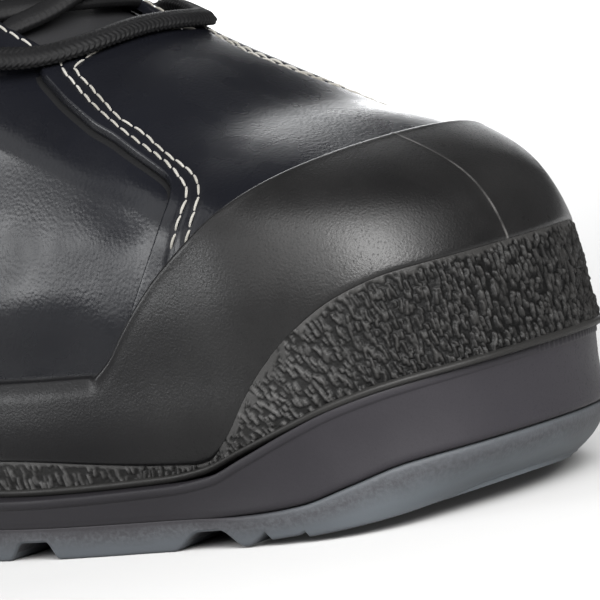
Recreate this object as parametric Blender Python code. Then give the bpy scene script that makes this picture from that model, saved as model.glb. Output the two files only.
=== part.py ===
"""Right safety boot: hollow leather upper, moulded toe overcap and rand, two-layer sole, lacing.

Sizes are millimetres, turned into metres where a mesh is made. X runs from the heel (0) to the
toe (LENGTH), the little-toe side is -Y, the floor is Z = 0.
"""
import bpy
import numpy as np

MM = 0.001
LENGTH = 300.0
GAP = 0.3
FOOT_GAP = 0.7
LATERAL = -1
MEDIAL = 1

# The upper's outline at each height over the floor (heights are true at the ball of the foot).
# front and back: ends along X; toe, ball, waist, heel: half widths; nose, seat: depth of the end rounding.
SECTIONS = {
    "height": (11.0, 20.0, 34.0, 48.0, 57.0, 63.5, 69.0, 74.0, 81.0, 88.5, 97.0, 110.0, 126.0, 146.0, 170.0, 192.0),
    "front": (291.5, 295.4, 295.8, 294.0, 290.8, 285.0, 274.6, 261.6, 243.2, 226.8, 209.0, 186.5, 166.0,
              148.5, 136.0, 128.5),
    "back": (7.2, 4.8, 3.8, 4.0, 5.0, 6.2, 7.4, 8.6, 10.3, 12.0, 13.6, 15.4, 16.6, 16.6, 14.6, 12.0),
    "toe": (39.5, 42.6, 43.4, 43.0, 41.8, 40.9, 39.8, 38.7, 37.6, 37.0, 36.6, 36.0, 36.0, 36.0, 36.5, 37.0),
    "ball": (44.5, 47.8, 48.2, 46.9, 45.2, 43.8, 42.2, 40.6, 38.6, 37.5, 36.8, 36.0, 36.0, 36.0, 36.5, 37.0),
    "waist": (32.5, 35.4, 36.6, 37.0, 36.8, 36.5, 36.1, 35.7, 35.1, 34.6, 34.2, 34.0, 34.2, 34.8, 35.8, 36.4),
    "heel": (33.0, 35.6, 36.4, 35.8, 34.8, 33.9, 33.0, 32.3, 31.5, 30.9, 30.4, 30.2, 30.7, 31.9, 33.8, 35.2),
    "nose": (44.0, 46.0, 46.0, 45.0, 44.0, 43.0, 41.5, 40.0, 40.0, 44.0, 50.0, 57.0, 59.0, 57.0, 54.0, 52.0),
    "seat": (36.0, 37.0, 38.0, 38.0, 38.0, 38.0, 38.0, 38.0, 38.0, 38.0, 38.0, 38.0, 38.0, 39.0, 40.0, 41.0),
}
STATIONS = {"heel": 46.0, "waist": 116.0, "ball": 205.0, "toe": 256.0}
END_POWER = 2.15
SWING = {"x": (0.0, 50.0, 112.0, 165.0, 200.0, 232.0, 265.0, 300.0),
         "y": (0.0, 0.0, -2.6, -2.0, -1.0, 0.6, 1.2, 1.2)}
SWING_TOP = 130.0

# Heights along the sole: footbed, rib under the overcap, joint of the two sole layers, underside
# of the tread plate, lug tips.
SOLE = {
    "x": (0.0, 14.0, 50.0, 88.0, 100.0, 118.0, 138.0, 155.0, 200.0, 240.0, 252.0, 262.0, 272.0, 281.0, 290.0, 300.0),
    "footbed": (24.0, 23.8, 22.4, 19.0, 17.5, 15.6, 13.8, 12.6, 11.0, 11.4, 12.2, 13.0, 14.2, 15.4, 16.6, 18.0),
    "rib": (26.0, 25.8, 24.0, 20.2, 18.8, 16.9, 15.1, 14.0, 12.6, 13.4, 14.8, 18.4, 22.6, 26.2, 28.6, 30.0),
    "joint": (10.5, 10.0, 9.6, 9.6, 11.2, 11.4, 9.4, 7.8, 6.8, 6.6, 6.6, 6.9, 7.8, 10.4, 13.2, 14.4),
    "plate": (6.6, 4.4, 4.4, 4.6, 8.4, 8.6, 6.0, 4.2, 3.8, 3.8, 3.9, 4.3, 5.0, 5.8, 6.8, 8.8),
    "tip": (3.2, 0.0, 0.0, 0.0, 0.0, 0.0, 0.0, 0.0, 0.0, 0.0, 0.1, 0.5, 1.2, 2.0, 3.0, 5.0),
}
LIFT_TOP = 68.0
UPRIGHT_BELOW = (30.0, 48.0)
COLLAR_TILT = 7.0
COLLAR_FROM = 110.0
COLLAR_TOP = 168.0

WALL = 2.2
PAD_OUT = 2.0
PAD_IN = 4.2
PAD_BAND = {"height": (126.0, 136.0, 148.0, 160.0, 168.0), "pad": (0.0, 0.55, 1.0, 0.85, 0.25)}
PAD_X = (76.0, 106.0)

THROAT_HEIGHT = 97.0
THROAT = {"height": (11.0, 97.0, 125.0, 168.0), "half": (18.0, 18.0, 19.5, 22.0)}

VAMP_INNER = 1.0
VAMP_OUTER = 2.4
VAMP_SEAM = {"height": (46.0, 56.0, 63.0, 68.0, 71.5, 75.0, 81.0, 88.0, 97.0),
             "x": (239.5, 242.0, 244.5, 245.0, 243.5, 239.0, 229.0, 216.5, 200.5)}

# Top edge of the overcap in side view: level rand, then up and over the toe.
CAP_EDGE = {"x": (0.0, 30.0, 90.0, 150.0, 224.0, 228.0, 234.0, 243.0, 254.0, 265.5, 275.0, 282.0),
            "z": (50.0, 49.0, 44.0, 38.6, 37.2, 39.6, 46.4, 55.4, 63.4, 69.8, 74.0, 76.6)}
# Top of the textured strip above the rib, and how far the rand stands out over it.
CAP_STRIP = {"x": (0.0, 60.0, 110.0, 160.0, 200.0, 240.0, 252.0, 258.0, 268.0, 283.0, 300.0),
             "z": (33.4, 31.0, 26.0, 22.0, 21.0, 17.6, 17.2, 24.0, 38.5, 48.0, 50.0)}
CAP_STEP = {"x": (0.0, 238.0, 254.0, 300.0), "out": (0.9, 0.9, 0.0, 0.0)}
CAP_RIB = 1.8
CAP_OUT = {"rib": 5.0, "strip": 4.2, "shoulder": 4.4, "lip": 2.7}
CAP_BEVEL = 3.2
CAP_BODY_ROWS = 4
CAP_GAP = 1.0

SOLE_COLUMNS = (13, 9, 6)
OUTLINE_RUN = 340.0
PLAN_HEIGHT = 24.0
SOLE_OUT = 4.4
LUG_ROOT = 1.0
LUG_DRAFT = 0.8

# Edge lugs: side, from and to along X, depth inward from the outline.
EDGE_LUGS = (
    ("lateral", 152.0, 168.0, 17.0), ("lateral", 176.0, 198.0, 19.0), ("lateral", 206.5, 243.0, 19.0),
    ("lateral", 250.5, 262.5, 16.0), ("medial", 155.0, 171.0, 17.0), ("medial", 179.0, 200.0, 19.0),
    ("medial", 208.5, 243.0, 19.0), ("medial", 250.5, 262.5, 16.0),
    ("lateral", 52.0, 88.0, 18.0), ("medial", 52.0, 88.0, 18.0),
)
# Lugs that wrap round an end: end, half length along the outline as a share of one side, depth, draft.
END_LUGS = (("toe", 0.158, 15.0, 3.2), ("back", 0.14, 17.0, 2.0))
# Middle lugs: from and to along X, half share of the width, lean of the bar along X.
BAR_LUGS = (
    (160.0, 169.0, 0.44, 5.0), (181.0, 191.0, 0.50, 6.0), (203.0, 213.0, 0.52, 6.0),
    (226.0, 236.0, 0.50, 6.0), (248.0, 257.0, 0.46, 5.0), (46.0, 55.0, 0.36, 4.0), (68.0, 77.0, 0.36, 4.0),
)

INSOLE_THICK = 4.0
INSOLE_EASE = 1.4
TONGUE_THICK = 5.0
TONGUE_OVERLAP = 8.0
TONGUE_FROM = 88.0
TONGUE_TO = 183.0

EYELET_PAIRS = 5
EYELET_HEIGHTS = (101.5, 159.0)
EYELET_SET_BACK = 12.5
EYELET_HOLE = 3.0
EYELET_BORE = 2.2
EYELET_FLANGE = 4.6
EYELET_THICK = 0.8
EYELET_RISE = 0.7
LACE_RADIUS = 2.2
LACE_CLEAR = 1.4

DENSE_HEIGHTS = 363
DENSE_SHARES = 181


def smooth(xs, ys):
    """Cubic curve through a table column, level at and past both ends."""
    x = np.array(xs, float)
    y = np.array(ys, float)
    n = len(x)
    h = np.diff(x)
    slope = np.diff(y) / h
    a = np.zeros((n, n))
    b = np.zeros(n)
    a[0, 0], a[0, 1], b[0] = 2 * h[0], h[0], 6 * slope[0]
    a[-1, -1], a[-1, -2], b[-1] = 2 * h[-1], h[-1], -6 * slope[-1]
    for i in range(1, n - 1):
        a[i, i - 1:i + 2] = h[i - 1], 2 * (h[i - 1] + h[i]), h[i]
        b[i] = 6 * (slope[i] - slope[i - 1])
    m = np.linalg.solve(a, b)

    def at(value):
        v = np.clip(value, x[0], x[-1])
        i = np.clip(np.searchsorted(x, v) - 1, 0, n - 2)
        left = v - x[i]
        right = x[i + 1] - v
        step = h[i]
        return ((m[i] * right**3 + m[i + 1] * left**3) / (6 * step)
                + (y[i] / step - m[i] * step / 6) * right + (y[i + 1] / step - m[i + 1] * step / 6) * left)
    return at


def steady(xs, ys):
    """Cubic curve through a table column that never overshoots its rows."""
    x = np.array(xs, float)
    y = np.array(ys, float)
    h = np.diff(x)
    slope = np.diff(y) / h
    tangent = np.zeros(len(x))
    for i in range(1, len(x) - 1):
        if slope[i - 1] * slope[i] > 0:
            w1 = 2 * h[i] + h[i - 1]
            w2 = h[i] + 2 * h[i - 1]
            tangent[i] = (w1 + w2) / (w1 / slope[i - 1] + w2 / slope[i])
    tangent[0] = slope[0]
    tangent[-1] = slope[-1]

    def at(value):
        v = np.clip(value, x[0], x[-1])
        i = np.clip(np.searchsorted(x, v) - 1, 0, len(x) - 2)
        t = (v - x[i]) / h[i]
        return (y[i] * (1 + 2 * t) * (1 - t)**2 + tangent[i] * h[i] * t * (1 - t)**2
                + y[i + 1] * t * t * (3 - 2 * t) - tangent[i + 1] * h[i] * t * t * (1 - t))
    return at


def ease(value, low, high):
    """0 below low, 1 above high, smooth between."""
    t = np.clip((value - low) / (high - low), 0.0, 1.0)
    return t * t * (3 - 2 * t)


section = {key: smooth(SECTIONS["height"], SECTIONS[key]) for key in SECTIONS if key != "height"}
swing = smooth(SWING["x"], SWING["y"])
sole = {key: steady(SOLE["x"], SOLE[key]) for key in SOLE if key != "x"}
cap_edge = steady(CAP_EDGE["x"], CAP_EDGE["z"])
cap_strip = steady(CAP_STRIP["x"], CAP_STRIP["z"])
cap_step = steady(CAP_STEP["x"], CAP_STEP["out"])
throat_half = smooth(THROAT["height"], THROAT["half"])
vamp_seam = smooth(VAMP_SEAM["height"], VAMP_SEAM["x"])
pad_band = smooth(PAD_BAND["height"], PAD_BAND["pad"])
BOTTOM = SECTIONS["height"][0]
TOP = SECTIONS["height"][-1]


def lifted(height, x):
    """True height of a section's point: low sections follow the footbed, the collar dips to the back."""
    fade = np.clip((LIFT_TOP - height) / (LIFT_TOP - BOTTOM), 0.0, 1.0)**2
    tilt = ease(height, COLLAR_FROM, COLLAR_TOP) * COLLAR_TILT * (x - 140.0) / 130.0
    return height + (sole["footbed"](x) + FOOT_GAP - BOTTOM) * fade + tilt


def half_outline(height, side):
    """One side of the upper's outline at a height, evenly spaced from the front to the back."""
    t = np.linspace(0.0, 1.0, 4 * DENSE_SHARES)
    row = {key: float(section[key](height)) for key in section}
    x = row["back"] + (row["front"] - row["back"]) * (1 + np.cos(np.pi * t)) / 2
    names = ("heel", "waist", "ball", "toe")
    body = smooth([STATIONS[k] for k in names], [row[k] for k in names])(x)
    nose = np.clip(1 - (row["front"] - x) / row["nose"], 0.0, 1.0)
    seat = np.clip(1 - (x - row["back"]) / row["seat"], 0.0, 1.0)
    half = body * (1 - nose**END_POWER)**(1 / END_POWER) * (1 - seat**END_POWER)**(1 / END_POWER)
    fade = 1 - ease(height, 40.0, SWING_TOP)
    y = swing(x) * fade + side * half
    run = np.concatenate(([0.0], np.cumsum(np.hypot(np.diff(x), np.diff(y)))))
    even = np.linspace(0.0, run[-1], DENSE_SHARES)
    x_even = np.interp(even, run, x)
    y_even = np.interp(even, run, y)
    return np.stack([x_even, y_even, lifted(height, x_even)], axis=1)


HEIGHTS = np.linspace(BOTTOM, TOP, DENSE_HEIGHTS)
SHARES = np.linspace(0.0, 1.0, DENSE_SHARES)
SKIN = {side: np.array([half_outline(h, side) for h in HEIGHTS]) for side in (LATERAL, MEDIAL)}


def skin_normals():
    """Outward directions over the dense skin, taken round the closed outline, level near the sole."""
    lateral = SKIN[LATERAL]
    medial = SKIN[MEDIAL][:, -2:0:-1]
    ring = np.concatenate([lateral, medial], axis=1)
    along = np.roll(ring, -1, axis=1) - np.roll(ring, 1, axis=1)
    up = np.gradient(ring, axis=0)
    normal = np.cross(up, along)
    normal /= np.linalg.norm(normal, axis=2, keepdims=True)
    normal[:, :, 2] *= ease(HEIGHTS, *UPRIGHT_BELOW)[:, None]
    normal /= np.linalg.norm(normal, axis=2, keepdims=True)
    back = DENSE_SHARES - 1
    return {LATERAL: normal[:, :back + 1],
            MEDIAL: np.concatenate([normal[:, :1], normal[:, :back - 1:-1]], axis=1)}


NORMAL = skin_normals()


def lookup(table, height, share):
    """Bilinear value of a dense skin table at arrays of heights and shares."""
    height, share = np.broadcast_arrays(np.asarray(height, float), np.asarray(share, float))
    row = np.clip((height - BOTTOM) / (TOP - BOTTOM), 0.0, 1.0) * (DENSE_HEIGHTS - 1)
    col = np.clip(share, 0.0, 1.0) * (DENSE_SHARES - 1)
    r = np.minimum(row.astype(int), DENSE_HEIGHTS - 2)
    c = np.minimum(col.astype(int), DENSE_SHARES - 2)
    fr = (row - r)[..., None]
    fc = (col - c)[..., None]
    near = table[r, c] * (1 - fc) + table[r, c + 1] * fc
    far = table[r + 1, c] * (1 - fc) + table[r + 1, c + 1] * fc
    return near * (1 - fr) + far * fr


def skin(side, height, share, out=0.0):
    """Point on the upper, or that far off it along its outward direction."""
    point = lookup(SKIN[side], height, share)
    normal = lookup(NORMAL[side], height, share)
    normal /= np.linalg.norm(normal, axis=-1, keepdims=True)
    return point + normal * np.asarray(out, float)[..., None]


def share_at_half(side, height, half):
    """Share along a side where the outline is that far from its middle line."""
    row = lookup(SKIN[side], np.full(DENSE_SHARES, height), SHARES)
    middle = row[0, 1]
    reach = np.abs(row[:DENSE_SHARES // 3, 1] - middle)
    return float(np.interp(half, reach, SHARES[:DENSE_SHARES // 3]))


def share_at_x(side, height, x):
    """Share along a side where the outline passes that X."""
    row = lookup(SKIN[side], np.full(DENSE_SHARES, height), SHARES)
    return float(np.interp(-x, -row[:, 0], SHARES))


def height_where(side, share, level, low, high):
    """Height on a column of the skin where its true height reaches level(x)."""
    tries = np.linspace(low, high, 400)
    column = skin(side, tries, share)
    over = column[:, 2] - level(column[:, 0])
    hit = int(np.argmax(over >= 0)) if (over >= 0).any() else len(tries) - 1
    if hit == 0:
        return float(tries[0])
    back = over[hit - 1] / (over[hit - 1] - over[hit])
    return float(tries[hit - 1] + (tries[hit] - tries[hit - 1]) * back)


def material(name, colour, rough, metal=0.0):
    m = bpy.data.materials.new(name)
    m.use_nodes = True
    shader = m.node_tree.nodes["Principled BSDF"]
    shader.inputs["Base Color"].default_value = (*colour, 1.0)
    shader.inputs["Roughness"].default_value = rough
    shader.inputs["Metallic"].default_value = metal
    m.diffuse_color = (*colour, 1.0)
    return m


def add(name, points, faces, mat=None, smooth_shade=True):
    """Mesh object from millimetre points, centred along X."""
    verts = (np.asarray(points, float) - (LENGTH / 2, 0.0, 0.0)) * MM
    mesh = bpy.data.meshes.new(name)
    mesh.from_pydata([tuple(v) for v in verts], [], [tuple(int(i) for i in f) for f in faces])
    mesh.validate()
    obj = bpy.data.objects.new(name, mesh)
    bpy.context.scene.collection.objects.link(obj)
    if mat is not None:
        mesh.materials.append(mat)
    if smooth_shade:
        mesh.shade_smooth()
        mesh.set_sharp_from_angle(angle=np.radians(38.0))
    return obj


def shell(name, outer, inner, faces, mat):
    """Closed wall between two skins that share the same faces."""
    count = len(outer)
    sides = {}
    for face in faces:
        for a, b in zip(face, face[1:] + face[:1]):
            sides[(a, b)] = sides.get((a, b), 0) + 1
    every = list(faces)
    every += [tuple(i + count for i in reversed(face)) for face in faces]
    every += [(b, a, a + count, b + count) for a, b in sides if (b, a) not in sides]
    return add(name, np.concatenate([outer, inner]), every, mat)


def cut(target, tool, operation):
    """Boolean of a target with a helper body."""
    tool.hide_render = True
    tool.display_type = "WIRE"
    step = target.modifiers.new(tool.name, "BOOLEAN")
    step.operation = operation
    step.solver = "EXACT"
    step.object = tool


def ring_faces(rows, columns, keep=None):
    """Quads between closed rings whose columns run lateral side first, outward face out."""
    faces = []
    for r in range(rows - 1):
        for c in range(columns):
            n = (c + 1) % columns
            if keep is None or keep(r, c):
                faces.append((r * columns + c, (r + 1) * columns + c, (r + 1) * columns + n, r * columns + n))
    return faces


def both_sides(build, shares):
    """Ring of points from build(side, shares): lateral front to back, then medial back to front."""
    lateral = build(LATERAL, shares)
    medial = build(MEDIAL, shares)
    return np.concatenate([lateral, medial[-2:0:-1]])


def ladder(columns, offset, up):
    """Faces that close a ring by joining its two sides across the middle."""
    half = columns // 2
    faces = []
    for i in range(half):
        a, b = i, i + 1
        c, d = (columns - i) % columns, (columns - i - 1) % columns
        face = [a, b, d, c]
        unique = [v for k, v in enumerate(face) if v not in face[:k]]
        faces.append(tuple(offset + v for v in (reversed(unique) if up else unique)))
    return faces


def stack(name, rings, mat):
    """Solid from closed rings listed bottom to top, closed across its first and last ring."""
    columns = len(rings[0])
    faces = ring_faces(len(rings), columns)
    faces += ladder(columns, 0, False)
    faces += ladder(columns, (len(rings) - 1) * columns, True)
    return add(name, np.concatenate(rings), faces, mat)


def column_shares(toe_columns, side_columns, heel_columns):
    """Shares along a side, close together round the toe and the heel."""
    toe = np.linspace(0.0, 0.235, toe_columns, endpoint=False)
    side = np.linspace(0.235, 0.8, side_columns, endpoint=False)
    heel = np.linspace(0.8, 1.0, heel_columns)
    return np.concatenate([toe, side, heel])


def plan(side, shares, out, z_of):
    """Ring side on the sole's outline, that far off the upper, at heights from a sole line."""
    point = skin(side, PLAN_HEIGHT, shares, out)
    point[:, 2] = z_of(station(side, shares))
    return point


def station(side, share):
    """X that a column of the sole's outline reads the sole lines at, heel 0 and toe LENGTH."""
    x = skin(side, PLAN_HEIGHT, share)[..., 0]
    back = skin(side, PLAN_HEIGHT, 1.0)[0]
    front = skin(side, PLAN_HEIGHT, 0.0)[0]
    return (x - back) / (front - back) * LENGTH


def wall_in(height, x):
    """Wall thickness inward: one wall, thicker under the collar pad."""
    return WALL + PAD_IN * pad_band(height) * (1 - ease(x, *PAD_X))


def pad_out(height, x):
    """How far the collar pad swells outward."""
    return PAD_OUT * pad_band(height) * (1 - ease(x, *PAD_X))


def upper_skin(side, height, share, depth):
    """Outer (depth 0) or inner (depth 1) face of the upper."""
    x = skin(side, height, share)[..., 0]
    outer = pad_out(height, x)
    return skin(side, height, share, outer * (1 - depth) - wall_in(height, x) * depth)


def build_upper(mat):
    front, toe = 3, 7
    behind = column_shares(*SOLE_COLUMNS)[SOLE_COLUMNS[0]:]
    low = (11.0, 18.0, 32.0, 48.0, 57.0, 62.0, 66.0, 70.0, 75.0, 81.0, 89.0)
    high = (97.0, 107.0, 118.0, 129.0, 139.0, 149.0, 159.0, 168.0)
    heights = low + high
    throat_row = len(low)
    outer = []
    inner = []
    for height in heights:
        for depth, rows in ((0, outer), (1, inner)):
            def build(side, _):
                edge = share_at_half(side, height, float(throat_half(height)))
                shares = np.concatenate([np.linspace(0.0, edge, front, endpoint=False),
                                         np.linspace(edge, behind[0], toe, endpoint=False), behind])
                return upper_skin(side, np.full(len(shares), height), shares, depth)
            rows.append(both_sides(build, None))
    columns = len(outer[0])

    def keep(row, column):
        in_throat = column < front or column >= columns - front
        return row < throat_row or not in_throat
    faces = ring_faces(len(heights), columns, keep)
    used = sorted({i for face in faces for i in face})
    index = {old: new for new, old in enumerate(used)}
    faces = [tuple(index[i] for i in face) for face in faces]
    return shell("upper", np.concatenate(outer)[used], np.concatenate(inner)[used], faces, mat)


def build_vamp(mat):
    columns, rows = 19, 11
    outer = []
    inner = []

    def on_seam(side, part, height, out):
        share = part * share_at_x(side, height, float(vamp_seam(height)))
        return skin(side, height, share, out)
    even = np.linspace(-1.0, 1.0, columns)
    spread = 0.4 * even + 0.6 * np.sin(even * np.pi / 2)
    for tau in spread:
        side = LATERAL if tau <= 0 else MEDIAL
        low = VAMP_SEAM["height"][0]
        while on_seam(side, abs(tau), low, 0.0)[2] < cap_edge(on_seam(side, abs(tau), low, 0.0)[0]) + GAP:
            low += 0.1
        for k in range(rows):
            height = low + (THROAT_HEIGHT - low) * k / (rows - 1)
            outer.append(on_seam(side, abs(tau), height, VAMP_OUTER))
            inner.append(on_seam(side, abs(tau), height, VAMP_INNER))
    faces = [(c * rows + r, (c + 1) * rows + r, (c + 1) * rows + r + 1, c * rows + r + 1)
             for c in range(columns - 1) for r in range(rows - 1)]
    return shell("vamp", np.array(outer), np.array(inner), faces, mat)


def cap_column(side, share):
    """Heights of the overcap's bottom, strip top and top edge on one column."""
    x = station(side, share)
    low = height_where(side, share, lambda _: sole["rib"](x) + GAP / 2, BOTTOM, 60.0)
    strip = height_where(side, share, lambda _: cap_strip(x), low, 90.0)
    top = height_where(side, share, cap_edge, low, 90.0)
    return low, min(max(strip, low + CAP_RIB + 0.8), top - 8.0), top


def build_overcap(mat):
    shares = column_shares(*SOLE_COLUMNS)
    rings = {"outer": [], "inner": []}
    sides = {}
    for side in (LATERAL, MEDIAL):
        columns = []
        for share in shares:
            low, strip, top = cap_column(side, share)
            x = float(skin(side, low, share)[0])
            step = float(cap_step(x))
            bevel = top - CAP_BEVEL * (0.55 if x > 230 else 1.0)
            rise = np.linspace(strip + 0.5, bevel, CAP_BODY_ROWS)
            part = np.linspace(0.0, 1.0, CAP_BODY_ROWS)
            body = CAP_OUT["strip"] + step + (CAP_OUT["shoulder"] - CAP_OUT["strip"] - step) * part
            foot = np.array([low, low + CAP_RIB * 0.8, low + CAP_RIB, (low + CAP_RIB + strip) / 2, strip])
            heights = np.concatenate([foot, rise, [top]])
            outs = np.concatenate([np.full(2, CAP_OUT["rib"]), np.full(3, CAP_OUT["strip"]), body, [CAP_OUT["lip"]]])
            share_row = np.full(len(heights), share)
            columns.append((skin(side, heights, share_row, outs),
                            skin(side, heights, share_row, np.full(len(heights), CAP_GAP))))
        sides[side] = columns
    rows = len(sides[LATERAL][0][0])
    for k, name in enumerate(("outer", "inner")):
        for r in range(rows):
            rings[name].append(both_sides(lambda side, _: np.array([c[k][r] for c in sides[side]]), None))
    faces = ring_faces(rows, len(rings["outer"][0]))
    return shell("overcap", np.concatenate(rings["outer"]), np.concatenate(rings["inner"]), faces, mat)


def build_midsole(mat):
    shares = column_shares(*SOLE_COLUMNS)

    def ring(out, z_of):
        return both_sides(lambda side, s: plan(side, s, out, z_of), shares)

    def rim_height(side, share):
        level = sole["rib"](station(side, share)) - GAP / 2
        return height_where(side, share, lambda _: level, BOTTOM, 60.0)

    def inside(part):
        """Ring on the rim's inner wall, part of the way up from the footbed."""
        def build(side, s):
            heights = np.array([BOTTOM + part * (rim_height(side, share) - BOTTOM) for share in s])
            return skin(side, heights, s, 3 * GAP)
        return both_sides(build, shares)
    floor = inside(0.0)
    floor[:, 2] = sole["footbed"](floor[:, 0])
    rings = [ring(SOLE_OUT - 0.9, lambda x: sole["joint"](x) + GAP / 2),
             ring(SOLE_OUT, lambda x: sole["joint"](x) + GAP / 2 + 0.9),
             ring(SOLE_OUT, lambda x: sole["rib"](x) - GAP / 2 - 0.4),
             ring(SOLE_OUT - 0.4, lambda x: sole["rib"](x) - GAP / 2),
             inside(1.0), inside(0.6), inside(0.3), floor]
    return stack("midsole", rings, mat)


def lug(rows):
    """Closed block from loops listed tip to root; a loop is an outer edge and back along an inner edge."""
    total = len(rows[0])
    half = total // 2
    faces = []
    for r in range(len(rows) - 1):
        low, high = r * total, (r + 1) * total
        faces += [(low + i, low + (i + 1) % total, high + (i + 1) % total, high + i) for i in range(total)]
    top = (len(rows) - 1) * total
    for i in range(half - 1):
        strip = (i, i + 1, total - 2 - i, total - 1 - i)
        faces.append(tuple(reversed(strip)))
        faces.append(tuple(top + v for v in strip))
    x, y = rows[-1][:, 0], rows[-1][:, 1]
    if np.sum(x * np.roll(y, -1) - np.roll(x, -1) * y) < 0:
        faces = [tuple(reversed(face)) for face in faces]
    return np.concatenate(rows), faces


def rim_lug(ends, count, depth, draft):
    """Lug along the outline between two places (side, share), drawn in towards its tip."""
    (side_a, share_a), (side_b, share_b) = ends
    bodies = []
    for inset, line in ((draft, sole["tip"]), (0.25 * draft, lambda x: 0.45 * sole["tip"](x) + 0.55 * sole["plate"](x)),
                        (0.0, lambda x: sole["plate"](x) + LUG_ROOT)):
        trim = 0.5 * inset / OUTLINE_RUN
        if side_a == side_b:
            walk = [(side_a, share) for share in np.linspace(share_a + trim, share_b - trim, count)]
        else:
            middle = 0.0 if share_a < 0.5 else 1.0
            pull = trim if share_a > 0.5 else -trim
            walk = [(side_a, share) for share in np.linspace(share_a + pull, middle, count)]
            walk += [(side_b, share) for share in np.linspace(middle, share_b + pull, count)[1:]]
        edges = []
        for off in (SOLE_OUT - 0.5 - inset, SOLE_OUT - 0.5 - depth + min(inset, LUG_DRAFT)):
            edges.append(np.concatenate([plan(side, np.array([share]), off, line) for side, share in walk]))
        bodies.append(np.concatenate([edges[0], edges[1][::-1]]))
    return lug(bodies)


def bar_lug(start, stop, half, lean):
    """Bent bar across the middle of the tread."""
    middle = (start + stop) / 2
    lateral, medial = (plan(side, np.array([share_at_x(side, PLAN_HEIGHT, middle)]), SOLE_OUT, sole["tip"])[0, 1]
                       for side in (LATERAL, MEDIAL))
    bodies = []
    for inset, line, rise in ((LUG_DRAFT, sole["tip"], 0.0), (0.0, sole["plate"], LUG_ROOT)):
        part = np.array([-half, 0.0, half])
        bend = lean * (0.5 - np.abs(part) / half)
        y = (lateral + medial) / 2 + part * ((medial - lateral) / 2 - inset)
        outer = np.column_stack([stop + bend - inset, y])
        inner = np.column_stack([start + bend + inset, y])
        loop = np.concatenate([outer, inner[::-1]])
        bodies.append(np.column_stack([loop, line(loop[:, 0]) + rise]))
    return lug(bodies)


def build_outsole(mat):
    shares = column_shares(*SOLE_COLUMNS)

    def ring(out, z_of):
        return both_sides(lambda side, s: plan(side, s, out, z_of), shares)
    plate = stack("outsole", [ring(SOLE_OUT - 0.9, sole["plate"]),
                              ring(SOLE_OUT - 0.3, lambda x: sole["joint"](x) - GAP / 2 - 0.5),
                              ring(SOLE_OUT - 0.7, lambda x: sole["joint"](x) - GAP / 2)], mat)
    bodies = []
    for where, start, stop, depth in EDGE_LUGS:
        side = LATERAL if where == "lateral" else MEDIAL
        ends = [(side, share_at_x(side, PLAN_HEIGHT, x)) for x in (stop, start)]
        bodies.append(rim_lug(ends, 3, depth, LUG_DRAFT))
    for where, reach, depth, draft in END_LUGS:
        share = reach if where == "toe" else 1.0 - reach
        bodies.append(rim_lug([(LATERAL, share), (MEDIAL, share)], 7, depth, draft))
    bodies += [bar_lug(*row) for row in BAR_LUGS]
    points = []
    faces = []
    for body_points, body_faces in bodies:
        base = sum(len(p) for p in points)
        points.append(body_points)
        faces += [tuple(base + i for i in face) for face in body_faces]
    cut(plate, add("lug_bodies", np.concatenate(points), faces, mat), "UNION")
    return plate


def build_insole(mat):
    shares = column_shares(11, 9, 7)

    def ring(height, rise):
        inset = -(WALL + INSOLE_EASE)
        points = both_sides(lambda side, s: skin(side, np.full(len(s), height), s, inset), shares)
        points[:, 2] = sole["footbed"](points[:, 0]) + rise
        return points
    return stack("insole", [ring(BOTTOM + 1.0, GAP), ring(BOTTOM + 1.0, GAP + INSOLE_THICK)], mat)


def build_tongue(mat):
    columns, rows = 11, 9
    outer = []
    inner = []
    for tau in np.linspace(-1.0, 1.0, columns):
        side = LATERAL if tau <= 0 else MEDIAL
        for k in range(rows):
            height = TONGUE_FROM + (TONGUE_TO - TONGUE_FROM) * k / (rows - 1)
            half = float(throat_half(height)) + TONGUE_OVERLAP
            share = share_at_half(side, height, abs(tau) * half)
            fat = TONGUE_THICK * (0.55 + 0.45 * float(ease(height, 92.0, 112.0))) * (1 - 0.35 * abs(tau)**4)
            top = -(WALL + 0.5)
            outer.append(skin(side, height, share, top))
            inner.append(skin(side, height, share, top - fat))
    faces = [(c * rows + r, (c + 1) * rows + r, (c + 1) * rows + r + 1, c * rows + r + 1)
             for c in range(columns - 1) for r in range(rows - 1)]
    return shell("tongue", np.array(outer), np.array(inner), faces, mat)


def eyelet_place(side, number):
    """Centre on the skin and outward direction of an eyelet, counted from the throat up."""
    height = EYELET_HEIGHTS[0] + (EYELET_HEIGHTS[1] - EYELET_HEIGHTS[0]) * number / (EYELET_PAIRS - 1)
    share = share_at_half(side, height, float(throat_half(height)) + EYELET_SET_BACK)
    base = skin(side, height, share)
    normal = skin(side, height, share, 1.0) - base
    return height, share, base, normal / np.linalg.norm(normal)


def across(normal):
    """Two directions square to a direction."""
    first = np.cross(normal, (0.0, 0.0, 1.0))
    first /= np.linalg.norm(first)
    return first, np.cross(normal, first)


def turned(base, normal, profile, count):
    """Closed ring turned round an axis from (radius, height) points."""
    e1, e2 = across(normal)
    points = []
    for k in range(count):
        angle = 2 * np.pi * k / count
        spoke = e1 * np.cos(angle) + e2 * np.sin(angle)
        points += [base + spoke * radius + normal * rise for radius, rise in profile]
    n = len(profile)
    faces = [(k * n + i, ((k + 1) % count) * n + i, ((k + 1) % count) * n + (i + 1) % n, k * n + (i + 1) % n)
             for k in range(count) for i in range(n)]
    return np.array(points), faces


def rod(base, normal, radius, low, high, count):
    """Closed round bar along a direction."""
    e1, e2 = across(normal)
    spokes = [e1 * np.cos(a) + e2 * np.sin(a) for a in np.arange(count) * 2 * np.pi / count]
    points = [base + s * radius + normal * low for s in spokes] + [base + s * radius + normal * high for s in spokes]
    faces = [(i, (i + 1) % count, count + (i + 1) % count, count + i) for i in range(count)]
    faces += [tuple(reversed(range(count))), tuple(range(count, 2 * count))]
    return np.array(points), faces


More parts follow.
